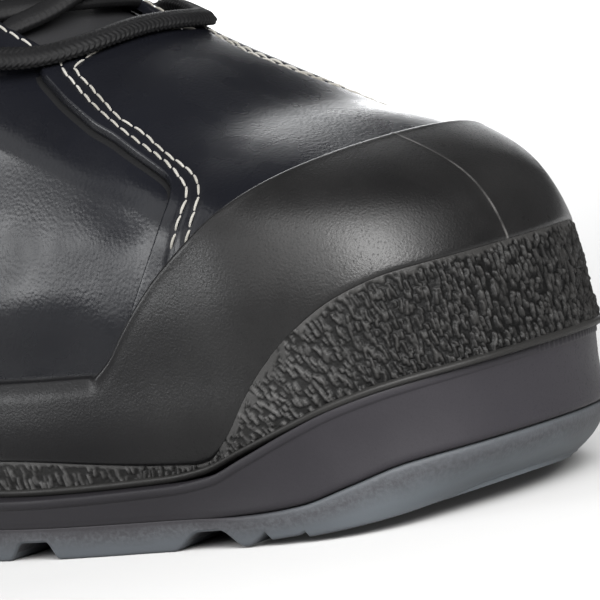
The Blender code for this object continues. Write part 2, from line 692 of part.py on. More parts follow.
def build_eyelets(upper, mat):
    points = []
    faces = []
    for side, name in ((LATERAL, "lateral"), (MEDIAL, "medial")):
        for number in range(EYELET_PAIRS):
            _, _, base, normal = eyelet_place(side, number)
            crown = EYELET_RISE + EYELET_THICK
            profile = ((EYELET_BORE, -WALL), (EYELET_HOLE - GAP, -WALL), (EYELET_HOLE - GAP, EYELET_RISE),
                       (EYELET_FLANGE, EYELET_RISE), (EYELET_FLANGE - 0.4, crown), (EYELET_BORE + 0.5, crown))
            ring, ring_quads = turned(base, normal, profile, 8)
            add(f"eyelet_{name}_{number + 1}", ring, ring_quads, mat)
            bar, bar_faces = rod(base, normal, EYELET_HOLE, -WALL - 3.0, 3.0, 8)
            start = sum(len(p) for p in points)
            points.append(bar)
            faces += [tuple(start + i for i in face) for face in bar_faces]
    cut(upper, add("eyelet_holes", np.concatenate(points), faces), "DIFFERENCE")


def lace_point(number, part):
    """Point over the throat at an eyelet number (may lie between two) and a place from -1 to 1 across."""
    side = LATERAL if part <= 0 else MEDIAL
    height = EYELET_HEIGHTS[0] + (EYELET_HEIGHTS[1] - EYELET_HEIGHTS[0]) * number / (EYELET_PAIRS - 1)
    reach = float(throat_half(height)) + EYELET_SET_BACK
    share = share_at_half(side, height, abs(part) * reach)
    return skin(side, height, share, LACE_RADIUS + EYELET_RISE + EYELET_THICK + LACE_CLEAR)


def tube(path, radius, count):
    """Closed round cord along a path."""
    path = np.asarray(path)
    points = []
    for i, centre in enumerate(path):
        ahead = path[min(i + 1, len(path) - 1)] - path[max(i - 1, 0)]
        ahead /= np.linalg.norm(ahead)
        e1 = np.cross(ahead, (0.3, 0.0, 1.0))
        e1 /= np.linalg.norm(e1)
        e2 = np.cross(ahead, e1)
        for a in np.arange(count) * 2 * np.pi / count:
            points.append(centre + radius * (e1 * np.cos(a) + e2 * np.sin(a)))
    last = (len(path) - 1) * count
    faces = [(i * count + k, i * count + (k + 1) % count, (i + 1) * count + (k + 1) % count, (i + 1) * count + k)
             for i in range(len(path) - 1) for k in range(count)]
    faces += [tuple(reversed(range(count))), tuple(range(last, last + count))]
    return np.array(points), faces


def build_lace(mat):
    steps = 5

    def strand(first):
        path = []
        for number in range(EYELET_PAIRS - 1):
            start = first if number % 2 == 0 else -first
            for k in range(steps if number < EYELET_PAIRS - 2 else steps + 1):
                t = k / steps
                path.append(lace_point(number + t, start * (1 - 2 * t)))
        return path
    bar = [lace_point(0.0, part) for part in np.linspace(-1.0, 1.0, 2 * steps)]
    lace = add("lace", *tube(strand(-1.0), LACE_RADIUS, 6), mat)
    cut(lace, add("lace_other_strand", *tube(strand(1.0), LACE_RADIUS * 1.002, 6)), "UNION")
    cut(lace, add("lace_first_bar", *tube(bar, LACE_RADIUS * 0.998, 6)), "UNION")
    return lace


for old in list(bpy.data.objects):
    bpy.data.objects.remove(old, do_unlink=True)

leather = material("black_leather", (0.018, 0.018, 0.020), 0.42)
rubber = material("black_rubber", (0.022, 0.022, 0.022), 0.55)
foam = material("dark_foam", (0.055, 0.052, 0.058), 0.6)
tread = material("grey_rubber", (0.14, 0.16, 0.17), 0.65)
cloth = material("black_cloth", (0.02, 0.02, 0.02), 0.85)
cord = material("black_cord", (0.02, 0.02, 0.02), 0.8)
metal = material("black_metal", (0.05, 0.05, 0.05), 0.35, 1.0)

build_outsole(tread)
build_midsole(foam)
build_overcap(rubber)
boot_upper = build_upper(leather)
build_vamp(leather)
build_insole(cloth)
build_tongue(cloth)
build_eyelets(boot_upper, metal)
build_lace(cord)
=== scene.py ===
"""Right safety boot in black leather with a moulded toe overcap, at the photograph's angle.

Form sizes are millimetres, as in the part's source: X from the heel (0) to the toe (LENGTH), -Y the
little-toe side, Z = 0 the floor. They become metres, centred along X, where a mesh is made.
"""
import math

import bpy
import numpy as np
from mathutils import Matrix, Vector
from mathutils.kdtree import KDTree


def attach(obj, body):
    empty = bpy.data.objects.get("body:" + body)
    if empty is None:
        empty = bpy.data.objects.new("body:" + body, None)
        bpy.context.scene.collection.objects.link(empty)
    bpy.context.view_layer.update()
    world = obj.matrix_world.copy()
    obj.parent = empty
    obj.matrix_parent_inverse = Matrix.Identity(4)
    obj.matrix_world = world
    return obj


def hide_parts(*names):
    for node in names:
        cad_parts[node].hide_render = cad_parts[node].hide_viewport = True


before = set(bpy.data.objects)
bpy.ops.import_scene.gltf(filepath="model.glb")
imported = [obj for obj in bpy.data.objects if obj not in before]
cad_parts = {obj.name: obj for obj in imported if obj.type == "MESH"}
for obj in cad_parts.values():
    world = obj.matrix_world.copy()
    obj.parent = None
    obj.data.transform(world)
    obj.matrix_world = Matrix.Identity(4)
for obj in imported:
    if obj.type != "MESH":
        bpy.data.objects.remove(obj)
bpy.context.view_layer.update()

MM = 0.001
LENGTH = 300
FOOT_GAP = 0.7
LATERAL, MEDIAL = 0, 1
BOTH = (LATERAL, MEDIAL)
SIGN = np.array((-1, 1))

# The upper's outline at each height, as in the part's source.
SECTIONS = {
    "height": (11, 20, 34, 48, 57, 63.5, 69, 74, 81, 88.5, 97, 110, 126, 146, 170, 192),
    "front": (291.5, 295.4, 295.8, 294, 290.8, 285, 274.6, 261.6, 243.2, 226.8, 209, 186.5, 166,
              148.5, 136, 128.5),
    "back": (7.2, 4.8, 3.8, 4, 5, 6.2, 7.4, 8.6, 10.3, 12, 13.6, 15.4, 16.6, 16.6, 14.6, 12),
    "toe": (39.5, 42.6, 43.4, 43, 41.8, 40.9, 39.8, 38.7, 37.6, 37, 36.6, 36, 36, 36, 36.5, 37),
    "ball": (44.5, 47.8, 48.2, 46.9, 45.2, 43.8, 42.2, 40.6, 38.6, 37.5, 36.8, 36, 36, 36, 36.5, 37),
    "waist": (32.5, 35.4, 36.6, 37, 36.8, 36.5, 36.1, 35.7, 35.1, 34.6, 34.2, 34, 34.2, 34.8, 35.8, 36.4),
    "heel": (33, 35.6, 36.4, 35.8, 34.8, 33.9, 33, 32.3, 31.5, 30.9, 30.4, 30.2, 30.7, 31.9, 33.8, 35.2),
    "nose": (44, 46, 46, 45, 44, 43, 41.5, 40, 40, 44, 50, 57, 59, 57, 54, 52),
    "seat": (36, 37, 38, 38, 38, 38, 38, 38, 38, 38, 38, 38, 38, 39, 40, 41),
}
STATIONS = {"heel": 46, "waist": 116, "ball": 205, "toe": 256.0}
END_POWER = 2.15
SWING = {"x": (0, 50, 112, 165, 200, 232, 265, 300),
         "y": (0, 0, -2.6, -2, -1, 0.6, 1.2, 1.2)}
SWING_FADE = (40, 130)
SOLE = {
    "x": (0, 14, 50, 88, 100, 118, 138, 155, 200, 240, 252, 262, 272, 281, 290, 300),
    "footbed": (24, 23.8, 22.4, 19, 17.5, 15.6, 13.8, 12.6, 11, 11.4, 12.2, 13, 14.2, 15.4, 16.6, 18),
    "rib": (26, 25.8, 24, 20.2, 18.8, 16.9, 15.1, 14, 12.6, 13.4, 14.8, 18.4, 22.6, 26.2, 28.6, 30),
    "joint": (10.5, 10, 9.6, 9.6, 11.2, 11.4, 9.4, 7.8, 6.8, 6.6, 6.6, 6.9, 7.8, 10.4, 13.2, 14.4),
    "plate": (6.6, 4.4, 4.4, 4.6, 8.4, 8.6, 6, 4.2, 3.8, 3.8, 3.9, 4.3, 5, 5.8, 6.8, 8.8),
    "tip": (3.2, 0, 0, 0, 0, 0, 0, 0, 0, 0, 0.1, 0.5, 1.2, 2, 3, 5),
}
LIFT_TOP = 68
UPRIGHT_BELOW = (30, 48)
COLLAR_TILT = 7
TILT_PIVOT = 140
TILT_RUN = 130
COLLAR_FROM = 110
COLLAR_TOP = 168
WALL = 2.2
PAD_OUT = 2
PAD_IN = 4.2
PAD_BAND = {"height": (126, 136, 148, 160, 168), "pad": (0, 0.55, 1, 0.85, 0.25)}
PAD_X = (76, 106)
COLLAR_SEAM = {"low": 131, "rise": 30, "x": (58, 104)}
THROAT_HEIGHT = 97
THROAT = {"height": (11, 97, 125, 168), "half": (18, 18, 19.5, 22)}
VAMP_OUTER = 2.4
VAMP_SEAM = {"height": (46, 52, 58, 64, 68, 71, 73.5, 76, 80, 84.5, 89, 93, 97),
             "x": (233.5, 235.8, 238.9, 242, 243.4, 243.2, 241.2, 236.9, 228.6, 220, 212, 205, 198.7)}
VAMP_TOP = (198.7, 201.5)
SEAM_ROWS = (
    {"height": (54, 57, 62.5, 66, 68.5, 70.5, 73, 76.5, 80, 83, 86.5, 90, 93.5, 98),
     "x": (243.8, 245.1, 247, 247.9, 248.1, 247.4, 244.5, 238.6, 231.2, 225, 218.1, 212.3, 206.6, 201.2)},
    {"height": (54, 59.5, 63, 66, 69, 71.5, 75, 78, 81, 84, 87.5, 91, 95.5),
     "x": (248.6, 249.8, 250.6, 251, 250.6, 248.8, 243.4, 237, 231.1, 225.1, 218.6, 212.5, 205.2)},
)
SEAM_HIGH = (
    {"height": (81, 84, 86, 89.5, 92, 94.5, 96, 98),
     "share": (0.1255, 0.1245, 0.123, 0.118, 0.113, 0.107, 0.103, 0.095)},
    {"height": (81, 83, 85.5, 88, 90, 92, 94, 95.5),
     "share": (0.118, 0.118, 0.1165, 0.112, 0.108, 0.1035, 0.0995, 0.096)},
    {"height": (81, 83, 85, 87.5, 89.5, 91.5, 93.5, 96, 97),
     "share": (0.140, 0.140, 0.139, 0.137, 0.135, 0.132, 0.128, 0.122, 0.119)},
)
# On the medial side the seam swings over the instep by this much of the outline.
SEAM_OVER = {"height": (78, 80.5, 82.5, 85, 88, 91, 94, 96.5, 98),
             "share": (0, 0.006, 0.015, 0.030, 0.037, 0.036, 0.024, 0.010, 0)}
THROAT_ROW = 204.8
CAP_EDGE = {"x": (0, 30, 90, 150, 224, 228, 234, 243, 254, 265.5, 275, 282),
            "z": (50, 49, 44, 38.6, 37.2, 39.6, 46.4, 55.4, 63.4, 69.8, 74, 76.6)}
CAP_STRIP = {"x": (0, 60, 110, 160, 200, 240, 252, 258, 264, 270, 277, 285, 293, 300),
             "z": (33.4, 31, 26, 22, 21, 17.6, 17.2, 22, 29.8, 36.4, 42.6, 47.5, 50.1, 50.8)}
CAP_RAGGED = (254, 257, 274, 280)
CAP_STEP = {"x": (0, 238, 254, 300), "out": (0.9, 0.9, 0, 0)}
CAP_RIB = 1.8
CAP_HIGHEST = 92
STRIP_LEAST = 0.8
BODY_LEAST = 8
CAP_OUT = {"strip": 4.2, "shoulder": 4.4}
CAP_CORNER = (223, 225.5)
PLAN_HEIGHT = 24
RIM_OUT = 4.0
# Sole: rough length of one side of its outline, lift of the rib, gap at the joint and where along X it
# opens, how far the toe is drawn in and rolled under, ends of the underside along X.
OUTLINE_RUN = 340
RIB_LIFT = 0.15
JOINT_GAP = 0.12
JOINT_OPEN = (246, 264)
TOE_IN = 1.4
TOE_ROLL = 7
UNDER_X = (4.3, 295.5)
# Lugs at the edge: side, start and stop along X, depth from the rim.
EDGE_LUGS = (
    (LATERAL, 152, 168, 17), (LATERAL, 176, 198, 19), (LATERAL, 206.5, 243, 19),
    (LATERAL, 250.5, 262.5, 16), (MEDIAL, 155, 171, 17), (MEDIAL, 179, 200, 19),
    (MEDIAL, 208.5, 243, 19), (MEDIAL, 250.5, 262.5, 16),
    (LATERAL, 52, 88, 18), (MEDIAL, 52, 88, 18),
)
# Low bridge behind the toe lug on the lateral side: ends along X, part of the lug height, depth.
BRIDGE_X = (260, 262, 268, 270)
BRIDGE_TALL = 0.82
BRIDGE_DEEP = 14
# Lugs round the ends: share that they reach to, depth from the rim; length of their sloping ends.
TOE_LUG = (0.158, 15)
BACK_LUG = (0.14, 17)
LUG_END = 2.2
MEDIAL_TOE_END = 11
# Half width of the sole at the forefoot and the heel, X where the heel's lugs end.
FOREFOOT_HALF = 52
HEEL_HALF = 40
HEEL_END = 100
# Bars across: start and stop along X, half width as part of the sole's, lean.
BAR_LUGS = (
    (160, 169, 0.44, 5), (181, 191, 0.50, 6), (203, 213, 0.52, 6),
    (226, 236, 0.50, 6), (248, 257, 0.46, 5), (46, 55, 0.36, 4), (68, 77, 0.36, 4),
)
TONGUE_THICK = 5
TONGUE_OVERLAP = 8
TONGUE_FROM = 88
TONGUE_TO = 183
EYELET_PAIRS = 5
EYELET_HEIGHTS = (101.5, 159)
EYELET_SET_BACK = 12.5
LACE_HALF_WIDE = 3
LACE_HALF_THICK = 1.65
LACE_HALF_ROUND = 1.85
DENSE_HEIGHTS = 545
DENSE_SHARES = 481

# Sewing: stitch pitch and length, the part of a last stitch that has to fit, thread radius, widths
# and lower edge of the sewn-on strips, how far the quarters tuck in over the rand and where.
STITCH_PITCH = 3.7
STITCH_LONG = 3.6
STITCH_FITS = 0.86
THREAD = 0.28
FACING_WIDE = 25
FACING_LOW = 98.4
BACKSTAY_HALF = 13
PANEL_STEP = 1
TUCK = 1.7
TUCK_X = (60, 110, 212, 230)
TONGUE_CORNER = 9

# Soft troughs in the leather of both sides: heights and X along the trough, depth, half width.
CREASES = (
    ((92, 84, 76, 69), (196, 213, 227, 233), 0.9, 7),
    ((82.3, 81.5, 80.3, 78.3, 75), (240, 240, 240, 241, 242), 1.3, 13),
    ((120, 112, 106), (128, 108, 84), 0.9, 6),
    ((113, 107, 103), (50, 30, 16), 0.7, 5),
    ((72, 66, 60), (160, 178, 196), 0.5, 8),
)


def smooth(xs, ys):
    """Cubic curve through a table column, level at and past both ends."""
    x = np.array(xs, float)
    y = np.array(ys, float)
    n = len(x)
    h = np.diff(x)
    slope = np.diff(y) / h
    a = np.zeros((n, n))
    b = np.zeros(n)
    a[0, 0], a[0, 1], b[0] = 2 * h[0], h[0], 6 * slope[0]
    a[-1, -1], a[-1, -2], b[-1] = 2 * h[-1], h[-1], -6 * slope[-1]
    for i in range(1, n - 1):
        a[i, i - 1:i + 2] = h[i - 1], 2 * (h[i - 1] + h[i]), h[i]
        b[i] = 6 * (slope[i] - slope[i - 1])
    m = np.linalg.solve(a, b)

    def at(value):
        v = np.clip(value, x[0], x[-1])
        i = np.clip(np.searchsorted(x, v) - 1, 0, n - 2)
        left = v - x[i]
        right = x[i + 1] - v
        step = h[i]
        return ((m[i] * right**3 + m[i + 1] * left**3) / (6 * step)
                + (y[i] / step - m[i] * step / 6) * right + (y[i + 1] / step - m[i + 1] * step / 6) * left)
    return at


def steady(xs, ys):
    """Cubic curve through a table column that never overshoots its rows."""
    x = np.array(xs, float)
    y = np.array(ys, float)
    h = np.diff(x)
    slope = np.diff(y) / h
    tangent = np.zeros(len(x))
    for i in range(1, len(x) - 1):
        if slope[i - 1] * slope[i] > 0:
            w1 = 2 * h[i] + h[i - 1]
            w2 = h[i] + 2 * h[i - 1]
            tangent[i] = (w1 + w2) / (w1 / slope[i - 1] + w2 / slope[i])
    tangent[0] = slope[0]
    tangent[-1] = slope[-1]

    def at(value):
        v = np.clip(value, x[0], x[-1])
        i = np.clip(np.searchsorted(x, v) - 1, 0, len(x) - 2)
        t = (v - x[i]) / h[i]
        return (y[i] * (1 + 2 * t) * (1 - t)**2 + tangent[i] * h[i] * t * (1 - t)**2
                + y[i + 1] * t * t * (3 - 2 * t) - tangent[i + 1] * h[i] * t * t * (1 - t))
    return at


def ease(value, low, high):
    """0 below low, 1 above high, smooth between."""
    t = np.clip((value - low) / (high - low), 0.0, 1.0)
    return t * t * (3 - 2 * t)


def between(value, start, full, fading, stop):
    """1 from full to fading, 0 before start and after stop, smooth between."""
    return ease(value, start, full) * (1 - ease(value, fading, stop))


def bell(value, width):
    """1 at 0, falling away on both sides over a width."""
    return np.exp(-(value / width)**2)


def quarter_round(value):
    """Height of a quarter circle: 1 up to 0, and 0 from 1 on."""
    return np.sqrt(np.clip(1 - np.clip(value, 0.0, 1.0)**2, 0.0, 1.0))


def unit(vectors):
    """Vectors of length 1 along the given ones."""
    return vectors / np.linalg.norm(vectors, axis=-1, keepdims=True)


def run_along(points, power=1.0):
    """Distance along a line of points from its first, each step raised to a power."""
    return np.concatenate(([0.0], np.cumsum(np.linalg.norm(np.diff(points, axis=0), axis=1)**power)))


def read_at(points, run, at):
    """Points of a line read at distances along it."""
    return np.stack([np.interp(at, run, column) for column in points.T], axis=1)


def resampled(points, spacing):
    """Points evenly spaced along a line."""
    run = run_along(points)
    return read_at(points, run, np.linspace(0.0, run[-1], max(2, int(run[-1] / spacing) + 1)))


def round_back(halves):
    """Lateral points front to back, then the medial ones back to front."""
    return np.concatenate([halves[LATERAL], halves[MEDIAL][-2::-1]])


section = {key: smooth(SECTIONS["height"], SECTIONS[key]) for key in SECTIONS if key != "height"}
swing = smooth(SWING["x"], SWING["y"])
sole = {key: steady(SOLE["x"], SOLE[key]) for key in SOLE if key != "x"}
cap_edge = steady(CAP_EDGE["x"], CAP_EDGE["z"])
cap_strip = steady(CAP_STRIP["x"], CAP_STRIP["z"])
cap_step = steady(CAP_STEP["x"], CAP_STEP["out"])
throat_half = smooth(THROAT["height"], THROAT["half"])
vamp_seam = smooth(VAMP_SEAM["height"], VAMP_SEAM["x"])
pad_band = smooth(PAD_BAND["height"], PAD_BAND["pad"])
BOTTOM = SECTIONS["height"][0]
TOP = SECTIONS["height"][-1]


def lifted(height, x):
    """True height of a section's point: low sections follow the footbed, the collar dips to the back."""
    fade = np.clip((LIFT_TOP - height) / (LIFT_TOP - BOTTOM), 0.0, 1.0)**2
    tilt = ease(height, COLLAR_FROM, COLLAR_TOP) * COLLAR_TILT * (x - TILT_PIVOT) / TILT_RUN
    return height + (sole["footbed"](x) + FOOT_GAP - BOTTOM) * fade + tilt


def half_outline(height, side):
    """One side of the upper's outline at a height, evenly spaced front to back, and its length."""
    t = np.linspace(0.0, 1.0, 4 * DENSE_SHARES)
    row = {key: float(section[key](height)) for key in section}
    x = row["back"] + (row["front"] - row["back"]) * (1 + np.cos(np.pi * t)) / 2
    names = ("heel", "waist", "ball", "toe")
    body = smooth([STATIONS[k] for k in names], [row[k] for k in names])(x)
    nose = np.clip(1 - (row["front"] - x) / row["nose"], 0.0, 1.0)
    seat = np.clip(1 - (x - row["back"]) / row["seat"], 0.0, 1.0)
    half = body * (1 - nose**END_POWER)**(1 / END_POWER) * (1 - seat**END_POWER)**(1 / END_POWER)
    y = swing(x) * (1 - ease(height, *SWING_FADE)) + SIGN[side] * half
    line = np.stack([x, y], axis=1)
    run = run_along(line)
    even = read_at(line, run, np.linspace(0.0, run[-1], DENSE_SHARES))
    return np.stack([even[:, 0], even[:, 1], lifted(height, even[:, 0])], axis=1), run[-1]


HEIGHTS = np.linspace(BOTTOM, TOP, DENSE_HEIGHTS)
SHARES = np.linspace(0.0, 1.0, DENSE_SHARES)
OUTLINES = [[half_outline(h, side) for h in HEIGHTS] for side in BOTH]
SKIN = np.array([[row[0] for row in side] for side in OUTLINES])
RUN = np.array([[row[1] for row in side] for side in OUTLINES])


def skin_normals():
    """Outward directions over the dense skin, taken round the closed outline, level near the sole."""
    ring = np.concatenate([SKIN[LATERAL], SKIN[MEDIAL][:, -2:0:-1]], axis=1)
    along = np.roll(ring, -1, axis=1) - np.roll(ring, 1, axis=1)
    normal = unit(np.cross(np.gradient(ring, axis=0), along))
    normal[:, :, 2] *= ease(HEIGHTS, *UPRIGHT_BELOW)[:, None]
    normal = unit(normal)
    back = DENSE_SHARES - 1
    medial = np.concatenate([normal[:, :1], normal[:, :back - 1:-1]], axis=1)
    return np.array([normal[:, :back + 1], medial])


NORMAL = skin_normals()


def lookup(table, side, height, share):
    """Bilinear value of a dense skin table at arrays of sides, heights and shares."""
    side, height, share = np.broadcast_arrays(side, np.asarray(height, float), np.asarray(share, float))
    row = np.clip((height - BOTTOM) / (TOP - BOTTOM), 0.0, 1.0) * (DENSE_HEIGHTS - 1)
    col = np.clip(share, 0.0, 1.0) * (DENSE_SHARES - 1)
    r = np.minimum(row.astype(int), DENSE_HEIGHTS - 2)
    c = np.minimum(col.astype(int), DENSE_SHARES - 2)
    fr = (row - r)[..., None]
    fc = (col - c)[..., None]
    near = table[side, r, c] * (1 - fc) + table[side, r, c + 1] * fc
    far = table[side, r + 1, c] * (1 - fc) + table[side, r + 1, c + 1] * fc
    return near * (1 - fr) + far * fr


def facing_out(side, height, share):
    """Outward direction of the skin."""
    return unit(lookup(NORMAL, side, height, share))


def skin(side, height, share, out=0.0):
    """Point on the upper, or that far off it along its outward direction."""
    outward = facing_out(side, height, share)
    return lookup(SKIN, side, height, share) + outward * np.asarray(out, float)[..., None]


def run_at(side, height):
    """Length of one side of the outline at a height."""
    return np.interp(height, HEIGHTS, RUN[side])


def share_at_half(side, height, half):
    """Share along a side where the outline is that far from its middle line."""
    heights, halves = np.broadcast_arrays(np.asarray(height, float), np.asarray(half, float))
    third = DENSE_SHARES // 3
    found = np.empty(heights.shape)
    for i in np.ndindex(heights.shape):
        row = lookup(SKIN, side, heights[i], SHARES[:third])
        found[i] = np.interp(halves[i], np.abs(row[:, 1] - row[0, 1]), SHARES[:third])
    return found


def share_at_x(side, height, x):
    """Share along a side where the outline passes that X."""
    heights, xs = np.broadcast_arrays(np.asarray(height, float), np.asarray(x, float))
    found = np.empty(heights.shape)
    for i in np.ndindex(heights.shape):
        row = lookup(SKIN, side, heights[i], SHARES)
        found[i] = np.interp(-xs[i], -row[:, 0], SHARES)
    return found


def height_where(side, share, level, low, high):
    """Height on each column of the skin where its true height first reaches a level of X or a fixed one."""
    tries = np.linspace(low, high, 500)
    columns = skin(np.asarray(side)[:, None], tries[None, :], np.asarray(share)[:, None])
    want = level(columns[..., 0]) if callable(level) else np.asarray(level)[:, None]
    over = columns[..., 2] - want
    hit = np.where((over >= 0).any(axis=1), np.argmax(over >= 0, axis=1), len(tries) - 1)
    before = np.maximum(hit - 1, 0)
    rows = np.arange(len(hit))
    gap = over[rows, before] - over[rows, hit]
    part = np.where(np.abs(gap) > 1e-9, over[rows, before] / np.where(np.abs(gap) > 1e-9, gap, 1.0), 0.0)
    return tries[before] + (tries[hit] - tries[before]) * np.clip(part, 0.0, 1.0)


def station(side, share):
    """X that a column of the sole's outline reads the sole lines at, heel 0 and toe LENGTH."""
    x = skin(side, PLAN_HEIGHT, share)[..., 0]
    back = skin(LATERAL, PLAN_HEIGHT, 1.0)[0]
    front = skin(LATERAL, PLAN_HEIGHT, 0.0)[0]
    return (x - back) / (front - back) * LENGTH


def rib_height(side, share):
    """Height on each column of the skin where the rib starts."""
    return height_where(side, share, sole["rib"](station(side, share)) + RIB_LIFT, BOTTOM, 60.0)


def hash01(i, j, seed):
    """Fixed scatter between 0 and 1 for whole numbers."""
    n = np.asarray(i, np.int64) * 374761393 + np.asarray(j, np.int64) * 668265263 + seed * 974711
    n = n & 0xFFFFFFFF
    n = ((n ^ (n >> 13)) * 1274126177) & 0xFFFFFFFF
    return ((n ^ (n >> 16)) & 0xFFFFFF) / float(0xFFFFFF)


def noise(x, y, seed):
    """Smooth value noise between 0 and 1 with cells one unit wide."""
    i = np.floor(x).astype(np.int64)
    j = np.floor(y).astype(np.int64)
    u = x - i
    v = y - j
    u = u * u * u * (u * (u * 6 - 15) + 10)
    v = v * v * v * (v * (v * 6 - 15) + 10)
    low = hash01(i, j, seed) * (1 - u) + hash01(i + 1, j, seed) * u
    high = hash01(i, j + 1, seed) * (1 - u) + hash01(i + 1, j + 1, seed) * u
    return low * (1 - v) + high * v


def put(tree, kind, inputs=None, **settings):
    """Shader node with its inputs linked or set."""
    node = tree.nodes.new(kind)
    for key, value in settings.items():
        setattr(node, key, value)
    for key, value in (inputs or {}).items():
        if isinstance(value, bpy.types.NodeSocket):
            tree.links.new(value, node.inputs[key])
        else:
            node.inputs[key].default_value = value
    return node


def spread(tree, value, low, high, to_low=0.0, to_high=1.0):
    """Value stretched from one range to another and clamped."""
    inputs = {"Value": value, "From Min": low, "From Max": high, "To Min": to_low, "To Max": to_high}
    return put(tree, "ShaderNodeMapRange", inputs).outputs[0]


def blend(tree, part, *colours):
    """Colour between two colours."""
    first, second = [c if isinstance(c, bpy.types.NodeSocket) else (*c, 1.0) for c in colours]
    return put(tree, "ShaderNodeMix", {0: part, 6: first, 7: second}, data_type="RGBA").outputs[2]


def reckon(tree, operation, *values):
    """Result of a math node."""
    return put(tree, "ShaderNodeMath", dict(enumerate(values)), operation=operation).outputs[0]


def noise_node(tree, place, scale, detail=3.0, rough=0.55, distortion=0.0):
    """Noise between 0 and 1."""
    inputs = {"Vector": place, "Scale": scale, "Detail": detail, "Roughness": rough,
              "Distortion": distortion}
    return put(tree, "ShaderNodeTexNoise", inputs).outputs["Fac"]


def bump(tree, height, strength, distance, below=None):
    """Normal bumped by a height, on top of another one if given."""
    inputs = {"Height": height, "Strength": strength, "Distance": distance}
    if below is not None:
        inputs["Normal"] = below
    return put(tree, "ShaderNodeBump", inputs).outputs["Normal"]


def finish(name, sockets):
    """New Principled material with some sockets set, its tree, shader and object coordinates."""
    made = bpy.data.materials.new(name)
    made.use_nodes = True
    tree = made.node_tree
    shader = tree.nodes["Principled BSDF"]
    for key, value in sockets.items():
        shader.inputs[key].default_value = value
    return made, tree, shader, put(tree, "ShaderNodeTexCoord").outputs["Object"]


def wire(tree, shader, **sockets):
    """Links into the shader's sockets, named with _ for a space."""
    for key, value in sockets.items():
        tree.links.new(value, shader.inputs[key.replace("_", " ")])


def leather_finish(name, dark, light, rough, grain, coat):
    """Full-grain leather: cells of grain with pores, slow waves, gloss that varies."""
    made, tree, shader, place = finish(name, {"Specular IOR Level": 0.17, "Coat Weight": coat,
                                              "Coat Roughness": 0.26})
    cells = put(tree, "ShaderNodeTexVoronoi", {"Vector": place, "Scale": 1350.0, "Randomness": 0.9},
                feature="SMOOTH_F1").outputs["Distance"]
    fine = noise_node(tree, place, 1500.0, 2.0)
    slow = noise_node(tree, place, 95.0, 2.0)
    broad = noise_node(tree, place, 22.0, 3.0)
    rise = reckon(tree, "MULTIPLY_ADD", fine, 0.35, cells)
    normal = bump(tree, rise, grain, 0.00016, bump(tree, slow, 0.07, 0.0009))
    wire(tree, shader, Base_Color=blend(tree, spread(tree, broad, 0.3, 0.7), dark, light),
         Roughness=spread(tree, slow, 0.3, 0.7, rough - 0.05, rough + 0.06), Normal=normal)
    return made


def rubber_finish(name, dark, light, rough, speckle, gloss, seam=None, hollow_shade=None, rear_fill_light=None, rear=None):
    """Moulded rubber: fine skin with dull pits and rubbed patches.

    seam: a pale mould line. relief: painted shade, the darker colour of the hollows between raised strokes.
    paler: lighter colour towards the rear of the rand, painted light that lifts the shade under the rand's
    ledge.
    rear: darker colour behind a stretch of X, painted shade on the rear, and lower shine there; ahead of it
    a film of coat adds gloss.
    """
    plain = gloss if rear is None else gloss * rear["shine"]
    made, tree, shader, place = finish(name, {"Specular IOR Level": plain, "Coat Roughness": rough})
    fine = noise_node(tree, place, 1900.0, 3.0, 0.6)
    pits = noise_node(tree, place, 2300.0, 2.0, 0.5)
    slow = noise_node(tree, place, 70.0, 4.0, 0.6)
    rubbed = noise_node(tree, place, 34.0, 5.0, 0.62, 0.6)
    normal = bump(tree, fine, speckle, 0.00025, bump(tree, slow, 0.06, 0.0008))
    pit = spread(tree, pits, 0.57, 0.69)
    uneven = spread(tree, slow, 0.3, 0.7, rough - 0.06, rough + 0.06)
    uneven = reckon(tree, "MULTIPLY_ADD", pit, 0.15, uneven)
    colour = blend(tree, spread(tree, rubbed, 0.42, 0.72), dark, light)
    split = put(tree, "ShaderNodeSeparateXYZ", {"Vector": place})
    along = split.outputs["X"]
    if rear is not None:
        # Painted shade: behind the stretch of X the colour turns darker.
        colour = blend(tree, spread(tree, along, *rear["x"]), rear["colour"], colour)
        film = spread(tree, along, *rear["x"], 0.0, 2 * (gloss - plain))
        film = reckon(tree, "MULTIPLY", film, spread(tree, pit, 0.0, 1.0, 1.0, 0.1))
        wire(tree, shader, Coat_Weight=film, Coat_Normal=normal)
    # Painted light: towards the rear the strip and its hollows turn lighter, lifting the shade under the
    # rand's ledge.
    if rear_fill_light is not None:
        pale = spread(tree, along, 0.140, 0.095)
        colour = blend(tree, pale, colour, rear_fill_light)
        hollow_shade = blend(tree, pale, hollow_shade, tuple(0.25 * part for part in rear_fill_light))
    # Painted shade: low values of the foot attribute, the hollows between strokes, take the darker colour.
    if hollow_shade is not None:
        depth = put(tree, "ShaderNodeAttribute", attribute_name="foot").outputs["Fac"]
        colour = blend(tree, spread(tree, depth, 0.15, 0.75), hollow_shade, colour)
    if seam is not None:
        off = reckon(tree, "ABSOLUTE", reckon(tree, "SUBTRACT", split.outputs["Y"], seam["y"]))
        line = spread(tree, off, seam["half"], seam["half"] * 0.35)
        ahead = spread(tree, along, seam["x"], seam["x"] + 0.004)
        patchy = spread(tree, noise_node(tree, place, 130.0, 3.0), 0.38, 0.62, 0.25, 1.0)
        part = reckon(tree, "MULTIPLY", reckon(tree, "MULTIPLY", line, ahead), patchy)
        colour = blend(tree, reckon(tree, "MULTIPLY", part, 0.42), colour, seam["colour"])
    wire(tree, shader, Base_Color=colour, Normal=normal, Roughness=uneven)
    return made


